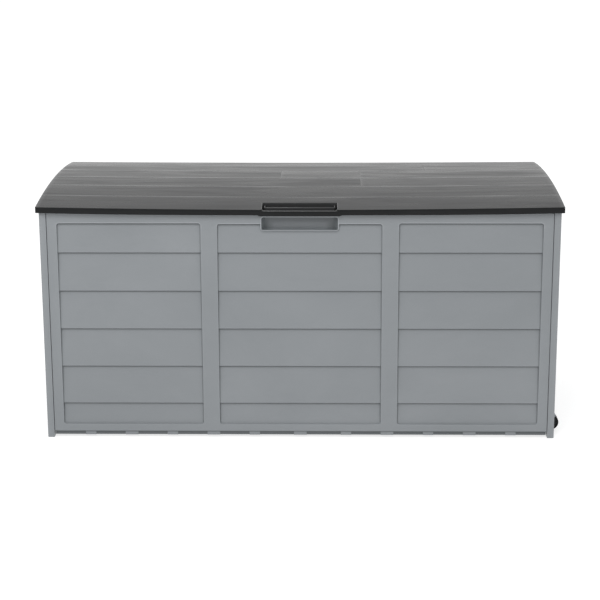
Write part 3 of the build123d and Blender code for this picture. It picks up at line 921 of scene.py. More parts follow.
@dataclass
class MouldedPanel:
    """A panel moulded as a shallow tray: a relief in front, flanges round it, open behind.

    Attributes:
        facing: Which way the outer face looks.
        face: Where the outer face stands, on the axis it looks along.
        middle: The panel's middle, on the axis it spreads along.
        outline: Rectangles that together make the panel's face, in u and v.
        bays: Sunk rectangles that hold boards.
        depth: From the outer face to the rims of the flanges.
        recess: Mouth of the finger recess, where there is one.
        seam: How much painted shade darkens the seam along the panel's lower edge, from 0 to 1.
        bay_wall: Distance inside a bay's edge where its wall starts, and where it ends.
        bay_highlight: How strong the painted highlight along the bays' edges is, low down and at the top.
        bay_highlight_line: Where that painted highlight runs, inwards from the edge, and its width.
        recess_shades: How dark the painted shade in the recess is, low down and at the top.
    """

    facing: Facing
    face: float
    middle: float
    outline: list[RoundedRectangle]
    bays: list[RoundedRectangle]
    depth: float
    recess: RoundedRectangle | None = None
    boards: Boards = Boards()
    wall: float = 3.0
    edge_radius: float = 0.8
    seam: float = 0.0
    seam_width: float = 1.2
    bay_wall: tuple[float, float] = (-0.35, 0.45)
    # Painted shade along the bays' edges, under their tops and under each board's foot, and painted highlight
    # along the bays' edges.
    painted_shade_reach: float = 2.4
    bay_highlight: tuple[float, float] = (0.12, 0.50)
    bay_highlight_height: float = 20.0
    bay_highlight_line: tuple[float, float] = (-1.3, 0.8)
    bay_painted_shade: float = 0.5
    # Painted highlight along the panel's outline.
    edge_highlight: float = 0.2
    edge_highlight_line: tuple[float, float] = (0.6, 0.8)
    recess_depth: float = 15.0
    recess_end_slope: float = 15.0
    recess_top_slope: float = 1.2
    # Painted shade inside the recess.
    recess_shades: tuple[float, float] = (0.08, 0.48)
    recess_end_shade: float = 0.62
    recess_end_reach: float = 34.0
    recess_rim: float = 2.4
    recess_rim_proud: float = 0.7
    # Painted highlight round the recess's rim.
    recess_highlight: float = 0.9
    recess_highlight_line: tuple[float, float] = (-0.9, 0.7)
    sway: float = 0.16
    sway_sizes: tuple[tuple[float, float], ...] = ((160.0, 40.0), (310.0, 90.0))
    sway_seed: int = 7
    step: float = 9.0

    def inside(self, u: np.ndarray, v: np.ndarray) -> np.ndarray:
        """Distance inside the panel's outline."""
        return np.max([part.inside(u, v) for part in self.outline], axis=0)

    def lines(self) -> tuple[np.ndarray, np.ndarray]:
        """Place grid lines across and up the panel, close together wherever its face turns.

        Returns:
            The lines across, and those that go up.
        """
        lines = []
        for axis, feet in (("u", []), ("v", self.boards.feet)):
            near = {foot + offset for foot in feet for offset in FOOT_LINES}
            near |= lines_inside(self.outline, axis, OUTLINE_LINES) | lines_inside(self.bays, axis, BAY_LINES)
            if self.recess is not None:
                near |= lines_inside([self.recess], axis, RECESS_LINES)
            low = min(getattr(shape, f"low_{axis}") for shape in self.outline)
            high = max(getattr(shape, f"high_{axis}") for shape in self.outline)
            lines.append(graded_lines(low, high, self.step, near))
        return lines[0], lines[1]

    def relief(self, u: np.ndarray, v: np.ndarray) -> tuple[np.ndarray, np.ndarray, np.ndarray]:
        """Work out the panel's relief over a grid.

        Args:
            u: Distance to the right of the middle.
            v: Height.

        Returns:
            Depth behind the panel's face, its painted highlight, and its painted shade.
        """
        depth = np.zeros(u.shape)
        worn = np.zeros(u.shape)
        crease = np.zeros(u.shape)
        waves = [value_noise(u / across, v / up, self.sway_seed + i)
                 for i, (across, up) in enumerate(self.sway_sizes)]
        sway = self.sway * (sum(waves) - 1.0)
        under_feet = self.boards.under_feet(v, self.painted_shade_reach)
        for bay in self.bays:
            inside = bay.inside(u, v)
            share = smooth_step(inside, *self.bay_wall)
            depth = np.maximum(depth, share * (self.boards.depth(v) + sway))
            # Painted highlight along each bay's edge, stronger towards its top.
            highlight_amount = between(self.bay_highlight, smooth_step(v, bay.high_v - self.bay_highlight_height, bay.high_v))
            worn = np.maximum(worn, highlight_amount * ridge(inside, *self.bay_highlight_line))
            # Painted shade along each bay's edge, under its top and under each board's foot.
            clear_of_foot = 1 - smooth_step(bay.low_v + 6 - v, 0, 5)
            edge = self.bay_painted_shade * clear_of_foot * ridge(inside, 0, 0.7 * self.painted_shade_reach)
            top = ridge(v, bay.high_v, self.painted_shade_reach)
            crease = np.maximum(crease, share * np.max([edge, top, under_feet], axis=0))
        if self.recess is not None:
            depth, worn, crease = self.sink_recess(u, v, depth, worn, crease)
        inside = self.inside(u, v)
        turn = np.clip(1 - inside / self.edge_radius, 0, 1)
        depth = np.maximum(depth, self.edge_radius * (1 - np.sqrt(1 - turn ** 2)))
        # Painted shade along the panel's lower edge, and painted highlight along its outline.
        seam = self.seam * ridge(v, v.min(), self.seam_width)
        worn = np.maximum(worn, self.edge_highlight * ridge(inside, *self.edge_highlight_line)) * (1 - seam)
        return depth, worn, np.maximum(crease, seam)

    def sink_recess(self, u: np.ndarray, v: np.ndarray, depth: np.ndarray, worn: np.ndarray,
                    crease: np.ndarray) -> tuple[np.ndarray, np.ndarray, np.ndarray]:
        """Add the finger recess and the raised rim round its mouth to a relief.

        Args:
            u: Distance to the right of the middle.
            v: Height.
            depth: The depth without them.
            worn: How much painted highlight the face has.
            crease: How much painted shade it has.

        Returns:
            The last three, with the recess in them.
        """
        mouth = self.recess
        inside = mouth.inside(u, v)
        rim = smooth_step(inside, -self.recess_rim - 0.35, -self.recess_rim + 0.35)
        upper = between((0.25, 1.0), smooth_step(v, mouth.low_v - 2, mouth.low_v + 8))
        depth = depth * (1 - rim) - self.recess_rim_proud * upper * rim
        from_end = np.minimum(u - mouth.low_u, mouth.high_u - u)
        ends = np.clip(from_end / self.recess_end_slope, 0, 1)
        rails = np.clip(np.minimum(v - mouth.low_v, mouth.high_v - v) / self.recess_top_slope, 0, 1)
        share = (1 - (1 - ends) ** 2) * (1 - (1 - rails) ** 1.5)
        inner = smooth_step(inside, -0.3, 0.5)
        depth = depth * (1 - inner) + self.recess_depth * share * inner
        # Painted highlight round the rim of the recess.
        worn = np.maximum(worn * (1 - rim), self.recess_highlight * upper * ridge(inside, *self.recess_highlight_line))
        # Painted shade inside the recess: darker towards its top, under the lid, and towards its ends.
        away = 1 - smooth_step(from_end, 4.0, self.recess_end_reach)
        high = smooth_step(v, mouth.low_v + 8, mouth.high_v - 6)
        shade = np.maximum(between(self.recess_shades, high), self.recess_end_shade * away)
        crease = np.maximum(crease * (1 - rim), inner * shade)
        return depth, worn, crease

    def draw(self, sketch: Sketch) -> None:
        """Draw the relief, the flanges, their rims and the inner face.

        Args:
            sketch: Where they are drawn.
        """
        u_lines, v_lines = self.lines()
        u, v = np.meshgrid(u_lines, v_lines)
        middle_inside = self.inside(*cell_middles(u_lines, v_lines))
        keep = middle_inside > 0
        hollow = middle_inside > self.wall
        depth, worn, crease = self.relief(u, v)
        cells = grid_cells(keep)
        inner_cells = grid_cells(hollow)
        back = np.full(u.shape, self.depth)
        levels = (depth, back, depth + self.wall)
        count = u.size
        points = np.concatenate([self.facing.place(self.face, self.middle, u, v, d) for d in levels])
        faces = cells.tolist() + walls(cells, 0, count)
        faces += (grid_cells(keep & ~hollow)[:, ::-1] + count).tolist()
        faces += (inner_cells[:, ::-1] + 2 * count).tolist() + walls(inner_cells, count, 2 * count)
        used = np.zeros(3 * count, bool)
        used[np.ravel(faces)] = True
        number = np.cumsum(used) - 1
        marks = {mark: np.concatenate([values.ravel(), np.zeros(2 * count)])[used]
                 for mark, values in ((Mark.WORN, worn), (Mark.CREASE, crease))}
        sketch.add(points[used], number[np.array(faces)].tolist(), marks)


HAND_RECESS = RoundedRectangle(-81.5, 81.5, 468.2, 496.0, 4.5)


@dataclass
class LongPanel:
    """Front or back panel: three bays of boards, and on the back the fixed hinge knuckles."""

    facing: Facing
    node: str
    end_gap: float = 0.6
    rim_proud: float = 0.8
    back_setback: float = 1.5
    centre_bay: float = 351.0
    stile: float = 36.0
    end_stile: float = 21.6
    bay_low: float = 30.5
    bay_high: float = 482.6
    centre_bay_high: float = 481.0
    bay_corner: float = 5.0
    notch_half: float = 99.0
    notch_drop: float = 5.0
    depth: float = 16.0
    arm_sunk: float = 1.5
    arm_inset: float = 0.3
    arm_tip: tuple[float, float] = (0.6, 1.2)
    arm_root: float = 1.0
    arm_soften: float = 0.6
    recess: RoundedRectangle = HAND_RECESS

    def build(self) -> bpy.types.Object:
        """Build the panel, and stand it for its CAD node.

        Returns:
            The panel.
        """
        extent = Extent.of(self.node)
        half = extent.high[0] - self.end_gap
        low, high = extent.low[2], extent.high[2]
        front = self.facing is Facing.FRONT
        if front:
            face = extent.low[1] + self.rim_proud
            outline = [RoundedRectangle(-half, half, low, high - self.notch_drop),
                       RoundedRectangle(-half, -self.notch_half, low, high),
                       RoundedRectangle(self.notch_half, half, low, high)]
        else:
            face = Extent.of("left_side_panel").high[1] - self.back_setback
            outline = [RoundedRectangle(-half, half, low, high)]
        middle, outer = self.centre_bay / 2, half - self.end_stile
        bays = [RoundedRectangle(low_u, high_u, self.bay_low, top, self.bay_corner)
                for low_u, high_u, top in ((-outer, -middle - self.stile, self.bay_high),
                                           (-middle, middle, self.centre_bay_high),
                                           (middle + self.stile, outer, self.bay_high))]
        panel = MouldedPanel(self.facing, face, 0.0, outline, bays, self.depth,
                             recess=self.recess if front else None, seam=1.0)
        sketch = Sketch()
        panel.draw(sketch)
        if not front:
            self.draw_knuckles(sketch, face)
        return stand_moulding(sketch, self.node)

    def draw_knuckles(self, sketch: Sketch, face: float) -> None:
        """Draw the fixed knuckles on both sides of each lid knuckle, each on a sloping arm.

        Args:
            sketch: Where they are drawn.
            face: The back panel's outer face.
        """
        radius, sunk = KNUCKLE_RADIUS, self.arm_sunk
        reach = LID_KNUCKLE / 2 + KNUCKLE_GAP
        for pin in HINGE_PINS:
            centre, y, z = hinge_place(pin)
            for low in (centre - reach - BACK_KNUCKLE, centre + reach):
                draw_knuckle(sketch, low, BACK_KNUCKLE, pin)
                root, tip = face - sunk, y - sunk
                outline = [(root, z - 2 * radius), (tip, z - radius + self.arm_tip[0]),
                           (tip, z + radius - self.arm_tip[1]), (root, z + radius - self.arm_root)]
                sketch.prism(outline, Along.X, low + self.arm_inset, low + BACK_KNUCKLE - self.arm_inset,
                             self.arm_soften)


@dataclass
class SidePanel:
    """End panel: one bay of boards, a hand grip, and legs at both ends."""

    facing: Facing
    node: str
    leg: float = 35.0
    relief: float = 3.4
    stile: float = 36.0
    bay_low: float = 78.7
    bay_high: float = 482.6
    bay_corner: float = 5.0
    grip_depth: float = 22.0
    depth: float = 14.5
    edge_radius: float = 1.6
    post: float = 25.0
    post_wall: float = 2.6
    post_front: float = 2.0
    post_low: float = 1.0
    post_drop: float = 0.6
    wheel_notch_half: float = 18.2
    wheel_notch_top: float = 52.5
    wheel_reach: float = 179.0
    rim_proud: float = 0.8
    recess: RoundedRectangle = HAND_RECESS

    def outline(self, half: float, top: float) -> list[RoundedRectangle]:
        """Lay out the rectangles that make the face, with the wheel notches left out on the right.

        Args:
            half: Half of the panel's width.
            top: Its height.

        Returns:
            The rectangles.
        """
        legs = half - self.leg
        spans = [(-half, -legs, 0.0), (legs, half, 0.0)]
        if self.facing is Facing.LEFT:
            spans.append((-half, half, self.relief))
        else:
            near, far = self.wheel_reach - self.wheel_notch_half, self.wheel_reach + self.wheel_notch_half
            spans += [(-half, -far, self.relief), (-near, near, self.relief), (far, half, self.relief),
                      (-half, half, self.wheel_notch_top)]
        return [RoundedRectangle(low, high, foot, top) for low, high, foot in spans]

    def build(self) -> bpy.types.Object:
        """Build the panel, and stand it for its CAD node.

        Returns:
            The panel.
        """
        extent = Extent.of(self.node)
        middle = extent.middle[1]
        half = extent.high[1] - middle
        inward = self.facing.inward
        face = (extent.low if inward > 0 else extent.high)[0] + inward * self.rim_proud
        bay_half = half - self.stile
        bay = RoundedRectangle(-bay_half, bay_half, self.bay_low, self.bay_high, self.bay_corner)
        panel = MouldedPanel(self.facing, face, middle, self.outline(half, extent.high[2]), [bay],
                             self.depth, recess=self.recess, recess_depth=self.grip_depth,
                             edge_radius=self.edge_radius)
        sketch = Sketch()
        panel.draw(sketch)
        for side in (-1, 1):
            ends = sorted((middle + side * (half - self.post_wall), middle + side * (half - self.post)))
            deep = sorted((face + inward * self.post_front, face + inward * (self.depth + 0.02)))
            sketch.block((deep[0], ends[0], self.post_low),
                         (deep[1], ends[1], extent.high[2] - self.post_drop))
        return stand_moulding(sketch, self.node)


# ---------------------------------------------------------------- lid
# Where grid lines stand round each end of the lip, each short joint and each groove.
LIP_LINES = (-1.0, -0.4, 0.0, 0.4, 1.0)
BUTT_LINES = (-1.6, -0.8, 0.0, 0.8, 1.6, 2.6)
GROOVE_LINES = (-2.9, -2.0, -1.2, -0.5, 0.0, 0.5, 1.2, 2.0, 2.9, 4.0)
# How far each row of a rounded edge has turned, in degrees.
EDGE_TURNS = (22.5, 45.0, 67.5, 90.0)


@dataclass
class PlankedLid:
    """Arched lid moulded like six planks, with a pocket and a deeper lip at its front.

    Attributes:
        rise: How far the crown stands above the long edges.
        edge_dip: How much lower the skirt's edge hangs midway along than at its ends.
        sag: How much lower the top is midway along, at the front and at the back.
        butts: Short joints between two lengths of a plank: the place along the lid, and the plank.
        row_shift: How far each plank's grain is shifted from the one before it.
        butt_shift: How far the grain is shifted past a short joint.
        groove_highlight: How strong the painted highlight along the grooves' edges is, from the least to the
            most.
        heel: How far behind its pin a knuckle's heel starts, and where it ends.
    """

    node: str = "lid"
    rise: float = 15.0
    edge_dip: float = 4.6
    dip_power: int = 3
    sag: tuple[float, float] = (5.8, 2.2)
    sag_power: float = 1.7
    skirt: float = 13.0
    wall: float = 3.0
    edge_radius: float = 1.0
    planks: int = 6
    groove_half: float = 2.6
    groove_depth: float = 0.4
    butt_half: float = 1.6
    butt_depth: float = 0.9
    groove_width: tuple[float, float] = (0.9, 1.15)
    groove_waves: float = 60.0
    # Painted highlights along the grooves, the short joints, the lid's edge and the pocket's rim.
    groove_highlight: tuple[float, float] = (0.45, 0.95)
    highlight_width: float = 0.9
    highlight_widening: float = 0.5
    highlight_waves: float = 70.0
    highlight_range: tuple[float, float] = (0.1, 0.75)
    butt_highlight: float = 0.22
    butt_highlight_width: float = 1.2
    edge_highlight: float = 0.2
    rim_highlight: float = 0.8
    butts: tuple[tuple[float, int], ...] = ((133.0, 2), (133.0, 3), (286.0, 4), (-47.0, 3))
    row_shift: float = 17.0
    butt_shift: float = 5.3
    grain_depth: float = 0.05
    fibre_share: float = 0.35
    figure_size: tuple[float, float] = (74.0, 5.2)
    figure_range: tuple[float, float] = (0.45, 0.9)
    fibre_size: tuple[float, float] = (26.0, 2.1)
    figure_seed: int = 21
    fibre_seed: int = 22
    groove_seed: int = 31
    highlight_seed: int = 33
    along_step: float = 9.5
    across_step: float = 2.1
    pocket_half: float = 80.0
    pocket_depth: float = 43.5
    pocket_wall: float = 4.0
    mouth_radius: float = 1.0
    # Painted highlight that lightens the shaded pocket.
    pocket_highlight: float = 0.2
    pocket_rim_drop: float = 8.7
    trough_drop: float = 13.5
    pocket_floor_drop: float = 15.7
    collar_setback: float = 17.0
    collar_inset: float = 4.5
    collar_wall: float = 2.5
    collar_drop: float = 4.7
    lip_half: float = 84.5
    lip_slope: float = 6.0
    lip_drop: float = 20.0
    rib: float = 2.2
    rib_clear: float = 5.5
    rib_columns: int = 7
    rib_inset: float = 20.0
    rib_overlap: float = 0.6
    rib_soften: float = 0.4
    across_points: int = 15
    along_points: int = 31
    seat_points: int = 14
    seat_gap: float = 0.3
    side_seat_inset: float = 12.75
    front_seat_setback: float = 8.8
    front_seat_start: float = 105.0
    front_seat_inset: float = 27.4
    neck_inset: float = 0.2
    neck_back: float = 1.4
    neck_width: float = 2.7
    neck_rise: float = 2.8
    heel: tuple[float, float] = (2.4, 5.0)
    heel_drop: float = 5.4

    def __post_init__(self) -> None:
        """Read the lid's box and work out its arch."""
        extent = Extent.of(self.node)
        self.half_width = extent.high[0]
        self.half_depth = extent.high[1]
        self.crown = extent.high[2]
        self.edge_height = self.crown - self.rise
        self.arch_radius = (self.half_depth ** 2 + self.rise ** 2) / (2 * self.rise)
        self.pitch = 2 * self.half_depth / self.planks
        self.pocket_rim = self.edge_height - self.pocket_rim_drop
        self.trough = self.edge_height - self.trough_drop
        self.pocket_floor = self.edge_height - self.pocket_floor_drop
        self.collar_top = self.edge_height - self.collar_drop
        self.lip_low = self.edge_height - self.lip_drop
        self.pocket_front = -self.half_depth + self.pocket_wall
        self.pocket_back = -self.half_depth + self.pocket_depth
        self.collar_front = -self.half_depth + self.collar_setback
        self.collar_half = self.pocket_half - self.collar_inset

    def low_edge(self, x: Values) -> Values:
        """Height of the skirt's lower edge."""
        dip = self.edge_dip * (1 - np.abs(x / self.half_width) ** self.dip_power)
        return self.edge_height - self.skirt - dip

    def arch(self, x: Values, y: Values) -> Values:
        """Work out the plain arched top, lower midway along than at its ends.

        Args:
            x: Place along the lid.
            y: Place across it.

        Returns:
            The height.
        """
        arch = self.crown - self.arch_radius + np.sqrt(self.arch_radius ** 2 - y ** 2)
        share = (y + self.half_depth) / (2 * self.half_depth)
        return arch - between(self.sag, share) * (1 - np.abs(x / self.half_width) ** self.sag_power)

    def planking(self, x: np.ndarray, y: np.ndarray) -> tuple[np.ndarray, np.ndarray, np.ndarray]:
        """What the planks take off the plain arch.

        Args:
            x: Places along the lid.
            y: Places across it.

        Returns:
            Depth below the arch, its painted highlight, and each point's grain shift.
        """
        row = np.clip(np.floor((y + self.half_depth) / self.pitch), 0, self.planks - 1)
        depth = np.zeros(x.shape)
        worn = np.zeros(x.shape)
        shift = row * self.row_shift
        for place, plank in self.butts:
            beyond = (row == plank) & (x > place)
            shift = np.where(beyond, shift + self.butt_shift + 0.01 * place, shift)
        figure, fibre = (value_noise(x / size[0] + shift, y / size[1] + shift, seed) for size, seed in
                         ((self.figure_size, self.figure_seed), (self.fibre_size, self.fibre_seed)))
        figure = (1 - self.fibre_share) * smooth_step(figure, *self.figure_range)
        grain = self.grain_depth * (figure + self.fibre_share * fibre)
        for k in range(1, self.planks):
            past = y + self.half_depth - k * self.pitch
            wander = value_noise(x / self.groove_waves, np.full(x.shape, 3.0 * k), self.groove_seed)
            half = self.groove_half * between(self.groove_width, wander)
            share = np.clip(1 - np.abs(past) / half, 0, 1)
            depth = np.maximum(depth, self.groove_depth * smooth_step(share, 0, 1))
            # Painted highlight just behind each groove, patchy along it and wider on the planks further back.
            patches = value_noise(x / self.highlight_waves, np.full(x.shape, 5.0 * k), self.highlight_seed)
            highlight_amount = between(self.groove_highlight, smooth_step(patches, *self.highlight_range))
            width = self.highlight_width + self.highlight_widening * k
            worn = np.maximum(worn, highlight_amount * ridge(past, width, width))
        for place, plank in self.butts:
            share = np.where(row == plank, np.clip(1 - np.abs(x - place) / self.butt_half, 0, 1), 0)
            depth = np.maximum(depth, self.butt_depth * smooth_step(share, 0, 1))
            # Painted highlight along one side of each short joint.
            highlight_amount = self.butt_highlight * ridge(x, place + self.butt_half, self.butt_highlight_width)
            worn = np.maximum(worn, np.where(row == plank, highlight_amount, 0))
        return depth + grain, worn, shift

    def top(self, x: np.ndarray, y: np.ndarray) -> tuple[np.ndarray, np.ndarray, np.ndarray]:
        """Work out the finished top.

        Args:
            x: Places along the lid.
            y: Places across it.

        Returns:
            Its height, its painted highlight, and its grain shift.
        """
        depth, worn, shift = self.planking(x, y)
        edge = np.minimum(self.half_width - np.abs(x), self.half_depth - np.abs(y)) - self.edge_radius
        height = self.arch(x, y) - depth * smooth_step(edge, 0, 3.0)
        # Painted highlight round the lid's edge.
        worn = np.maximum(worn, self.edge_highlight * ridge(edge, 0, 0.8))
        at_rim = (y < self.pocket_front) & (np.abs(x) < self.pocket_half + 0.9)
        lowered = 1 - smooth_step(np.abs(x), self.pocket_half - 0.4, self.pocket_half + 0.8)
        height = np.where(at_rim, height * (1 - lowered) + self.pocket_rim * lowered, height)
        # Painted highlight on the rim in front of the pocket.
        worn = np.where(at_rim, np.maximum(worn, self.rim_highlight * lowered), worn)
        return height, worn, shift

    def lines(self) -> tuple[np.ndarray, np.ndarray]:
        """Place grid lines along and across the lid.

        Returns:
            The lines along, and those across.
        """
        reach, depth = self.half_width - self.edge_radius, self.half_depth - self.edge_radius
        ends = (self.pocket_half, self.lip_half, self.lip_half + self.lip_slope)
        x_near = {side * end + offset for side in (-1, 1) for end in ends for offset in LIP_LINES}
        x_near |= {place + offset for place, _ in self.butts for offset in BUTT_LINES}
        along = graded_lines(-reach, reach, self.along_step, x_near)
        joints = [-self.half_depth + k * self.pitch for k in range(1, self.planks)]
        y_near = {joint + offset for joint in joints for offset in GROOVE_LINES}
        y_near |= {self.pocket_front - self.mouth_radius, self.pocket_back + self.mouth_radius}
        return along, graded_lines(-depth, depth, self.across_step, y_near)

    def draw_shell(self, sketch: Sketch) -> None:
        """Draw the shell: top, rounded edges, skirt, underside, and the mouth of the pocket.

        Args:
            sketch: Where it is drawn.
        """
        along, across = self.lines()
        x, y = np.meshgrid(along, across)
        height, worn, shift = self.top(x, y)
        x_mid, y_mid = cell_middles(along, across)
        radius = self.mouth_radius
        mouth = ((np.abs(x_mid) < self.pocket_half + radius) & (y_mid > self.pocket_front - radius)
                 & (y_mid < self.pocket_back + radius))
        cells = grid_cells(~mouth)
        top = np.stack([x.ravel(), y.ravel(), height.ravel()], axis=1)
        under_x = np.clip(x, -self.half_width + self.wall, self.half_width - self.wall)
        under_y = np.clip(y, -self.half_depth + self.wall, self.half_depth - self.wall)
        under = np.stack([under_x.ravel(), under_y.ravel(),
                          (self.arch(under_x, under_y) - self.wall).ravel()], axis=1)
        first = sketch.add(top, cells.tolist(), {Mark.WORN: worn, Mark.PLANK: shift})
        below = sketch.add(under, cells[:, ::-1].tolist(), {Mark.PLANK: shift})
        for loop in boundary_loops(cells):
            self.draw_edge(sketch, top, loop, first, below, self.is_outer(top, loop), shift.ravel())

    def is_outer(self, top: np.ndarray, loop: list[int]) -> bool:
        """Whether a loop is the lid's edge and not the pocket's mouth."""
        return max(top[i][0] for i in loop) > self.lip_half + self.lip_slope

    def edge_steps(self, point: np.ndarray, outer: bool) -> list[tuple[float, float]]:
        """Offsets and heights of the rows that lead down from a point on an edge.

        Args:
            point: The point on the top.
            outer: Whether it is on the lid's edge, and not on the pocket's mouth.

        Returns:
            Distance outwards and height of each row.
        """
        turns = [math.radians(a) for a in EDGE_TURNS]
        radius = self.edge_radius if outer else self.mouth_radius
        steps = [(radius * math.sin(t), point[2] - radius * (1 - math.cos(t))) for t in turns]
        if not outer:
            return steps + [(radius, self.trough - 1)]
        low = self.low_edge(point[0])
        slope = (abs(point[0]) - self.lip_half) / self.lip_slope
        if point[1] < 0 and slope < 1:
            low = self.lip_low + (low - self.lip_low) * max(0.0, slope)
        inner = self.edge_radius - self.wall
        under = self.arch(point[0], point[1]) - self.wall
        return steps + [(radius, low + 0.7), (radius - 0.2, low + 0.2), (radius - 0.7, low),
                        (inner + 0.5, low), (inner, low + 0.5), (inner, max(low + 1, under - 0.6))]

    def draw_edge(self, sketch: Sketch, top: np.ndarray, loop: list[int], first: int, below: int,
                  outer: bool, shift: np.ndarray) -> None:
        """Draw the rows of faces from an edge of the top down to the underside.

        Args:
            sketch: Where they are drawn.
            top: Places of the top's vertices.
            loop: The edge's vertices, in order.
            first: Number of the top's first vertex in the sketch.
            below: Number of the underside's first vertex in the sketch.
            outer: Whether this is the lid's edge.
            shift: Grain shift of the top's vertices.
        """
        columns = outward_ways(top, loop)
        rows = len(self.edge_steps(top[loop[0]], outer))
        points = [(top[here][0] + out.real * offset, top[here][1] + out.imag * offset, z)
                  for here, out in columns for offset, z in self.edge_steps(top[here], outer)]
        faces = []
        first, below = first - sketch.count, below - sketch.count
        for i, (here, _) in enumerate(columns):
            j = (i + 1) % len(columns)
            there = columns[j][0]
            up, down = (i * rows, j * rows), (i * rows + rows - 1, j * rows + rows - 1)
            faces += [(up[0] + r, up[0] + r + 1, up[1] + r + 1, up[1] + r) for r in range(rows - 1)]
            faces.append(tuple(dict.fromkeys((here + first, up[0], up[1], there + first))))
            faces.append(tuple(dict.fromkeys((down[0], here + below, there + below, down[1]))))
        side = np.tile(smooth_step(np.arange(rows), 1, 3), len(columns))
        # The lid's skirt gets the painted shade mark, which dulls its gloss; the rows down into the pocket
        # get painted highlight, which lightens the shaded pocket.
        marks = {Mark.CREASE: side} if outer else {Mark.WORN: side * self.pocket_highlight}
        grain = np.repeat([shift[here] for here, _ in columns], rows)
        sketch.add(np.array(points), faces, {Mark.PLANK: grain, **marks})

    def draw_pocket(self, sketch: Sketch) -> None:
        """Draw the tub round the pocket: its walls, floors and collar.

        The blocks run a little way into each other, each by its own amount, so that no two of their
        faces lie in one plane.

        Args:
            sketch: Where it is drawn.
        """
        front, back, collar = self.pocket_front, self.pocket_back, self.collar_front
        # The pocket's walls and floors carry painted highlight, which lightens the shaded pocket.
        half, inner, wall, highlighted = self.pocket_half, self.collar_half, self.wall, self.pocket_highlight
        low, top = self.pocket_floor - wall, self.edge_height - 8
        for side in (-1, 1):
            ends = sorted((side * (half + 0.3), side * (half + wall)))
            sketch.block((ends[0], front - 1, low), (ends[1], back + wall, top), 0.5, highlighted)
            ends = sorted((side * (half + 0.5), side * (inner - 0.5)))
            sketch.block((ends[0], front - 0.5, low + 0.3), (ends[1], back + 0.5, self.trough), 0.3, highlighted)
            ends = sorted((side * inner, side * (inner - self.collar_wall)))
            sketch.block((ends[0], collar, low + 0.4), (ends[1], back + 0.6, self.collar_top), 0.8, highlighted)
        sketch.block((-half - wall, back + 0.3, low), (half + wall, back + wall, top), 0.5, highlighted)
        sketch.block((-half - 0.5, front - 0.5, low + 0.3), (half + 0.5, collar + 0.5, self.trough), 0.3,
                     highlighted)
        sketch.block((-inner + 0.4, collar, low + 0.4),
                     (inner - 0.4, collar + self.collar_wall, self.collar_top), 0.8, highlighted)
        sketch.block((-inner, collar, low), (inner, back + wall - 0.5, self.pocket_floor), 0.3, highlighted)
        sketch.block((-half - wall + 0.3, front - 1, low),
                     (half + wall - 0.3, back + wall - 0.4, low + 2), 0.4)

    def draw_beads(self, sketch: Sketch) -> None:
        """Draw the rounded beads round the pocket's mouth and along the collar's top.

        Args:
            sketch: Where they are drawn.
        """
        back, half, y_front = self.pocket_back, self.pocket_half + 0.6, self.pocket_front - 1.6
        corner, turns = 5.0, np.linspace(0, math.pi / 2, 7)
        top = [self.arch(half, y) - 0.25 for y in (back, y_front + corner)]
        right = [(half, back, top[0]), (half, y_front + corner, top[1])]
        drop = top[1] - self.pocket_rim
        for t in turns[1:]:
            right.append((half - corner * (1 - math.cos(t)), y_front + corner * (1 - math.sin(t)),
                          top[1] - drop * smooth_step(t, 0.0, math.pi / 2)))
        left = [(-x, y, z) for x, y, z in right]
        # Painted highlight on this bead, pale where its rounded top would catch the light.
        sketch.bead(left + right[::-1], 0.75, 0.6)
        inside, edge = self.collar_half - self.collar_wall / 2, self.collar_front + self.collar_wall / 2
        height = self.collar_top - 0.2
        ends = [(inside, back, height), (inside, edge + 2.0, height), (inside - 0.6, edge + 0.6, height),
                (inside - 2.0, edge, height)]
        # The collar's bead carries a fainter painted highlight.
        sketch.bead([(-x, y, z) for x, y, z in ends] + ends[::-1], 0.7, 0.35)

    def under(self, x: float, y: float) -> float:
        """Height just inside the shell's underside, where ribs end."""
        return self.arch(x, y) - self.wall + self.rib_overlap

    def draw_ribs(self, sketch: Sketch) -> None:
        """Draw the ribs across and along the lid, and those that rest on the panels.

        Args:
            sketch: Where they are drawn.
        """
        thick, clear = self.rib, self.rib_clear
        inner = self.half_width - self.rib_inset
        depth = self.half_depth - self.wall
        depths = np.linspace(-depth, depth, self.across_points)
        width = self.half_width - self.wall
        widths = np.linspace(-width, width, self.along_points)
        for x in np.linspace(-inner, inner, self.rib_columns + 2)[1:-1]:
            low = self.low_edge(x) + clear
            rows = [d for d in depths if d > self.pocket_back or abs(x) >= self.pocket_half + 4]
            outline = [(rows[0], low), *[(d, self.under(x, d)) for d in rows], (rows[-1], low)]
            sketch.prism(outline, Along.X, x - thick / 2, x + thick / 2, self.rib_soften)
        for k in (2, 3, 4):
            y = -self.half_depth + k * self.pitch
            outline = [*[(w, self.low_edge(w) + clear) for w in widths],
                       *[(w, self.under(w, y)) for w in widths[::-1]]]
            sketch.prism(outline, Along.Y, y - thick / 2, y + thick / 2, self.rib_soften)
        front, side_panel = Extent.of("front_panel"), Extent.of("right_side_panel")
        seat_y = front.low[1] + self.front_seat_setback
        seat_front, seat_side = front.high[2] + self.seat_gap, side_panel.high[2] + self.seat_gap
        for side in (-1, 1):
            x = side * (self.half_width - self.side_seat_inset)
            outline = [(-depth, seat_side), *[(d, self.under(x, d)) for d in depths], (depth, seat_side)]
            sketch.prism(outline, Along.X, x - thick / 2, x + thick / 2, self.rib_soften)
            spans = np.linspace(self.front_seat_start, self.half_width - self.front_seat_inset,
                                self.seat_points)
            outline = [(side * spans[0], seat_front), *[(side * w, self.under(w, seat_y)) for w in spans],
                       (side * spans[-1], seat_front)]
            sketch.prism(outline, Along.Y, seat_y - thick / 2, seat_y + thick / 2, self.rib_soften)

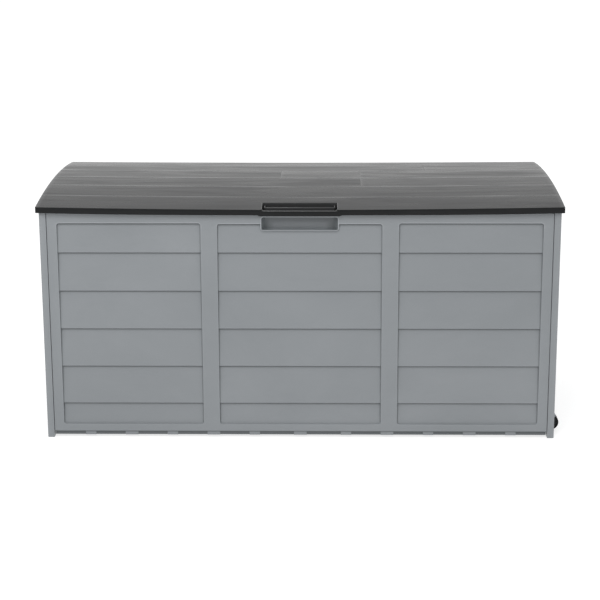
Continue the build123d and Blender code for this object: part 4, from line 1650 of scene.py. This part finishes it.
    def draw_knuckles(self, sketch: Sketch) -> None:
        """Draw the three knuckles under the back edge, each with its neck and square heel.

        Args:
            sketch: Where they are drawn.
        """
        for pin in HINGE_PINS:
            x, y, z = hinge_place(pin)
            draw_knuckle(sketch, x - LID_KNUCKLE / 2, LID_KNUCKLE, pin)
            half = LID_KNUCKLE / 2 - self.neck_inset
            sketch.block((x - half, y - self.neck_width, z + self.neck_rise),
                         (x + half, self.half_depth - self.neck_back, self.under(x, y)), 0.5)
            near, far = (y + reach for reach in self.heel)
            sketch.block((x - half, near, z - self.heel_drop), (x + half, far, z), 0.4)

    def build(self) -> bpy.types.Object:
        """Build the lid, and stand it for its CAD node.

        Returns:
            The lid.
        """
        sketch = Sketch()
        self.draw_shell(sketch)
        self.draw_pocket(sketch)
        self.draw_beads(sketch)
        self.draw_ribs(sketch)
        self.draw_knuckles(sketch)
        piece = sketch.build("planked_lid", LID_PLASTIC)
        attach(piece, "lid")
        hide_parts(self.node)
        return piece


# ---------------------------------------------------------------- wheels and hardware
@dataclass
class Wheel:
    """One-piece plastic wheel: crowned tread, dished faces, hub and spokes.

    Attributes:
        end: Which wheel it is, as its node's name starts.
        groove_reach: Half of a tread groove's width, at the surface and at its floor.
    """

    end: str
    rim: float = 3.0
    dish: float = 2.2
    hub: float = 5.6
    bore: float = 3.05
    spokes: int = 6
    spoke: float = 1.6
    shoulder: float = 1.6
    tread_groove: float = 0.5
    groove_reach: tuple[float, float] = (1.0, 0.6)
    chamfer: float = 0.6
    spoke_sunk: float = 0.8
    tread_faces: int = 64
    hub_faces: int = 48

    def build(self) -> list[bpy.types.Object]:
        """Build the tread ring and the hub with its spokes; the hub rides with the ring.

        Returns:
            The ring and the hub.
        """
        extent = Extent.of(f"{self.end}_wheel")
        centre = extent.middle
        radius = (extent.high[2] - extent.low[2]) / 2
        half = (extent.high[1] - extent.low[1]) / 2
        tread = self.build_tread(centre, radius, half)
        hub = self.build_hub(centre, radius, half)
        for piece in (tread, hub):
            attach(piece, f"{self.end}_wheel")
        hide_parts(f"{self.end}_wheel")
        return [tread, hub]

    def build_tread(self, centre: Point, radius: float, half: float) -> bpy.types.Object:
        """Build the outer ring, with three shallow grooves round its tread.

        Args:
            centre: Middle of the wheel.
            radius: Its outer radius.
            half: Half of its width.

        Returns:
            The ring.
        """
        s = self.shoulder
        left = [(-half + self.dish, radius - self.rim - 0.3), (-half, radius - self.rim),
                (-half, radius - s), (-half + 0.3 * s, radius - 0.35 * s), (-half + s, radius)]
        outer, inner = self.groove_reach
        groove = ((-outer, 0.0), (-inner, self.tread_groove), (inner, self.tread_groove), (outer, 0.0))
        grooves = [(at + reach, radius - depth) for at in (-half / 2, 0.0, half / 2)
                   for reach, depth in groove]
        right = [(-at, around) for at, around in reversed(left)]
        sketch = Sketch()
        sketch.lathe(left + grooves + right, Along.Y, centre, self.tread_faces)
        return sketch.build(f"{self.end}_wheel_tread", TYRE_PLASTIC, 25)

    def build_hub(self, centre: Point, radius: float, half: float) -> bpy.types.Object:
        """Build the web, the hub round the axle and the spokes.

        Args:
            centre: Middle of the wheel.
            radius: Its outer radius.
            half: Half of its width.

        Returns:
            The hub.
        """
        sketch = Sketch()
        web = half - self.dish
        inner = radius - self.rim + 0.2
        chamfer = self.chamfer
        left = [(-web, inner), (-web, self.hub + chamfer), (-web - chamfer, self.hub),
                (-half + chamfer, self.hub), (-half, self.hub - chamfer), (-half, self.bore)]
        right = [(-at, around) for at, around in reversed(left)]
        sketch.lathe(left + right, Along.Y, centre, self.hub_faces)
        low, high = centre[1] - half + self.spoke_sunk, centre[1] + half - self.spoke_sunk
        for i in range(self.spokes):
            turn = 2 * math.pi * i / self.spokes
            along = np.array([math.cos(turn), math.sin(turn)])
            across = np.array([-math.sin(turn), math.cos(turn)]) * self.spoke / 2
            ends = [along * (self.hub - 0.5) - across, along * inner - across, along * inner + across,
                    along * (self.hub - 0.5) + across]
            outline = [(centre[0] + e[0], centre[2] + e[1]) for e in ends]
            sketch.prism(outline, Along.Y, low, high, 0.35)
        return sketch.build(f"{self.end}_wheel_hub", HUB_PLASTIC, 30)


@dataclass
class Fittings:
    """Base, wheel brackets and the steel parts, each in its own finish."""

    soften: float = 0.35
    tongue_reach: float = 1.9
    apron_drop: float = 1.5
    apron_shade: float = 0.64

    def build(self) -> list[bpy.types.Object]:
        """Round the base and the brackets, and finish the steel nodes as they are.

        Returns:
            The pieces.
        """
        pieces = []
        for node in ("base_panel", "front_wheel_bracket", "rear_wheel_bracket"):
            sketch = softened(node, self.soften)
            if node == "base_panel":
                self.finish_apron(sketch)
            pieces.append(stand_moulding(sketch, node))
        slots = {part["node"]: part["material_slot"] for part in FRAME.record["subparts"]}
        for finish in (PIN_STEEL, SCREW_STEEL):
            for node, slot in slots.items():
                if slot == finish.slot.value:
                    self.dress(node, finish)
                    pieces.append(FRAME.nodes[node])
        return pieces

    def finish_apron(self, sketch: Sketch) -> None:
        """Drop the lower edge of the base's apron, and darken what lies behind the tips of its tongues with
        painted shade.

        Args:
            sketch: The base.
        """
        points = sketch.points[0]
        behind = np.minimum(points[:, 1] - points[:, 1].min(), points[:, 1].max() - points[:, 1])
        outer = behind < 1.5 * self.tongue_reach
        low = outer & (points[:, 2] < points[outer, 2].min() + 1.5 * self.soften)
        points[low, 2] -= self.apron_drop
        # Painted shade on the apron behind the tongues, where it sits under the panels.
        sketch.marks[Mark.CREASE][0] = self.apron_shade * smooth_step(behind, 0.5 * self.tongue_reach,
                                                                      self.tongue_reach)

    def dress(self, node: str, finish: Finish) -> None:
        """Give a CAD node a finish."""
        materials = FRAME.nodes[node].data.materials
        materials.clear()
        materials.append(finish.material())


# ---------------------------------------------------------------- studio
@dataclass(frozen=True)
class PaleFloor(Finish):
    """A white, faintly clouded floor that gives off a little light, as a lit studio floor does."""

    colour: Point = (0.38, 0.38, 0.38)
    cloud_colour: Point = (0.40, 0.40, 0.40)
    glow: float = 0.71
    clouds: Pattern = Pattern((1.5, 1.5, 1.5), 2)

    def wire(self, sketch: ShaderSketch) -> None:
        """Clouds in the colour.

        Args:
            sketch: The material's nodes.
        """
        colour = sketch.blend(sketch.noise(self.clouds), self.colour, self.cloud_colour)
        sketch.shade({"Base Color": colour, "Roughness": 0.9,
                      "Specular IOR Level": 0.1, "Emission Color": (1.0, 1.0, 1.0, 1.0),
                      "Emission Strength": self.glow})


@dataclass(frozen=True)
class SoftLight:
    """A square light that hangs in the studio and shines on the box."""

    name: str
    place: Point
    size: float
    power: float
    aim_height: float = 0.25

    def build(self) -> None:
        """Hang the light, turned towards the box."""
        data = bpy.data.lights.new(self.name, "AREA")
        data.shape = "SQUARE"
        data.size = self.size
        data.energy = self.power
        light = bpy.data.objects.new(self.name, data)
        light.location = self.place
        aim = Vector((0.0, 0.0, self.aim_height)) - Vector(self.place)
        light.rotation_euler = aim.to_track_quat("-Z", "Y").to_euler()
        bpy.context.scene.collection.objects.link(light)


@dataclass
class Studio:
    """White floor, soft light and the camera."""

    floor_half: float = 30.0
    floor_drop: float = 0.0002
    front_sky: float = 0.225
    back_sky: float = 0.965
    top_sky: float = 1.26
    lights: tuple[SoftLight, ...] = (SoftLight("key_light", (-0.7, -2.1, 2.4), 1.4, 38.0),)
    camera_place: Point = (0.0518, -3.348, 1.2384)
    camera_pitch: float = 13.09
    camera_yaw: float = 0.84
    camera_roll: float = -0.17
    lens: float = 90.57
    sensor: float = 36.0
    shift: tuple[float, float] = (-0.0041, -0.1517)

    def build(self) -> None:
        """Build the floor, the lights and the camera."""
        self.build_floor()
        self.build_world()
        for light in self.lights:
            light.build()
        self.build_camera()
        bpy.context.scene.view_settings.view_transform = "Standard"
        bpy.context.scene.view_settings.look = "None"

    def build_floor(self) -> None:
        """Build the floor, which isn't part of the box."""
        mesh = bmesh.new()
        bmesh.ops.create_grid(mesh, x_segments=8, y_segments=8, size=self.floor_half)
        data = bpy.data.meshes.new("studio_floor")
        mesh.to_mesh(data)
        mesh.free()
        floor = bpy.data.objects.new("studio_floor", data)
        bpy.context.scene.collection.objects.link(floor)
        floor.location.z = -self.floor_drop
        data.materials.append(PaleFloor("pale_floor", Slot.BODY).material())
        floor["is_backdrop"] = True

    def build_world(self) -> None:
        """Light the scene from all round: dimmer in front of the box, brighter behind it."""
        world = bpy.data.worlds.new("soft_studio")
        world.use_nodes = True
        sketch = ShaderSketch(world.node_tree, "Background")
        split = sketch.node("SeparateXYZ", {0: sketch.coordinates("Generated")}).outputs
        level = sketch.ranged(split["Y"], (-1.0, 1.0), (self.front_sky, self.back_sky))
        rise = sketch.ranged(split["Z"], (0.3, 1.0), (0.0, 1.0))
        strength = sketch.node("Mix", {0: rise, 2: level, 3: self.top_sky}).outputs[0]
        sketch.shade({"Color": (1.0, 1.0, 1.0, 1.0), "Strength": strength})
        bpy.context.scene.world = world

    def build_camera(self) -> None:
        """Stand the camera in front of the box, a little above it."""
        data = bpy.data.cameras.new("camera")
        data.lens = self.lens
        data.sensor_width = self.sensor
        data.shift_x, data.shift_y = self.shift
        data.dof.use_dof = False
        camera = bpy.data.objects.new("camera", data)
        turn = (Matrix.Rotation(math.radians(self.camera_yaw), 3, "Z")
                @ Matrix.Rotation(math.radians(90 - self.camera_pitch), 3, "X")
                @ Matrix.Rotation(math.radians(self.camera_roll), 3, "Z"))
        camera.rotation_euler = turn.to_euler()
        camera.location = self.camera_place
        bpy.context.scene.collection.objects.link(camera)
        bpy.context.scene.camera = camera


# ---------------------------------------------------------------- the whole scene
class PackedFrame:
    """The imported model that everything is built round."""

    def __init__(self) -> None:
        """Load the model and keep its box."""
        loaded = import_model()
        self.nodes: dict[str, bpy.types.Object] = loaded["nodes"]
        self.record: dict[str, Any] = loaded["record"]
        self.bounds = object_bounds()

    def write_sizes(self) -> None:
        """Bring the view layer up to date."""
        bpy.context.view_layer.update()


FRAME = PackedFrame()


def main() -> None:
    """Build every piece in order."""
    logging.basicConfig(level=logging.INFO, format="%(name)s: %(message)s")
    builders = (LongPanel(Facing.FRONT, "front_panel"), LongPanel(Facing.BACK, "back_panel"),
                SidePanel(Facing.LEFT, "left_side_panel"), SidePanel(Facing.RIGHT, "right_side_panel"),
                PlankedLid(), Wheel("front"), Wheel("rear"), Fittings())
    for builder in builders:
        built = builder.build()
        for piece in built if isinstance(built, list) else [built]:
            LOG.info("%s: %d faces", piece.name, len(piece.data.polygons))
    Studio().build()
    FRAME.write_sizes()


if __name__ == "__main__":
    main()
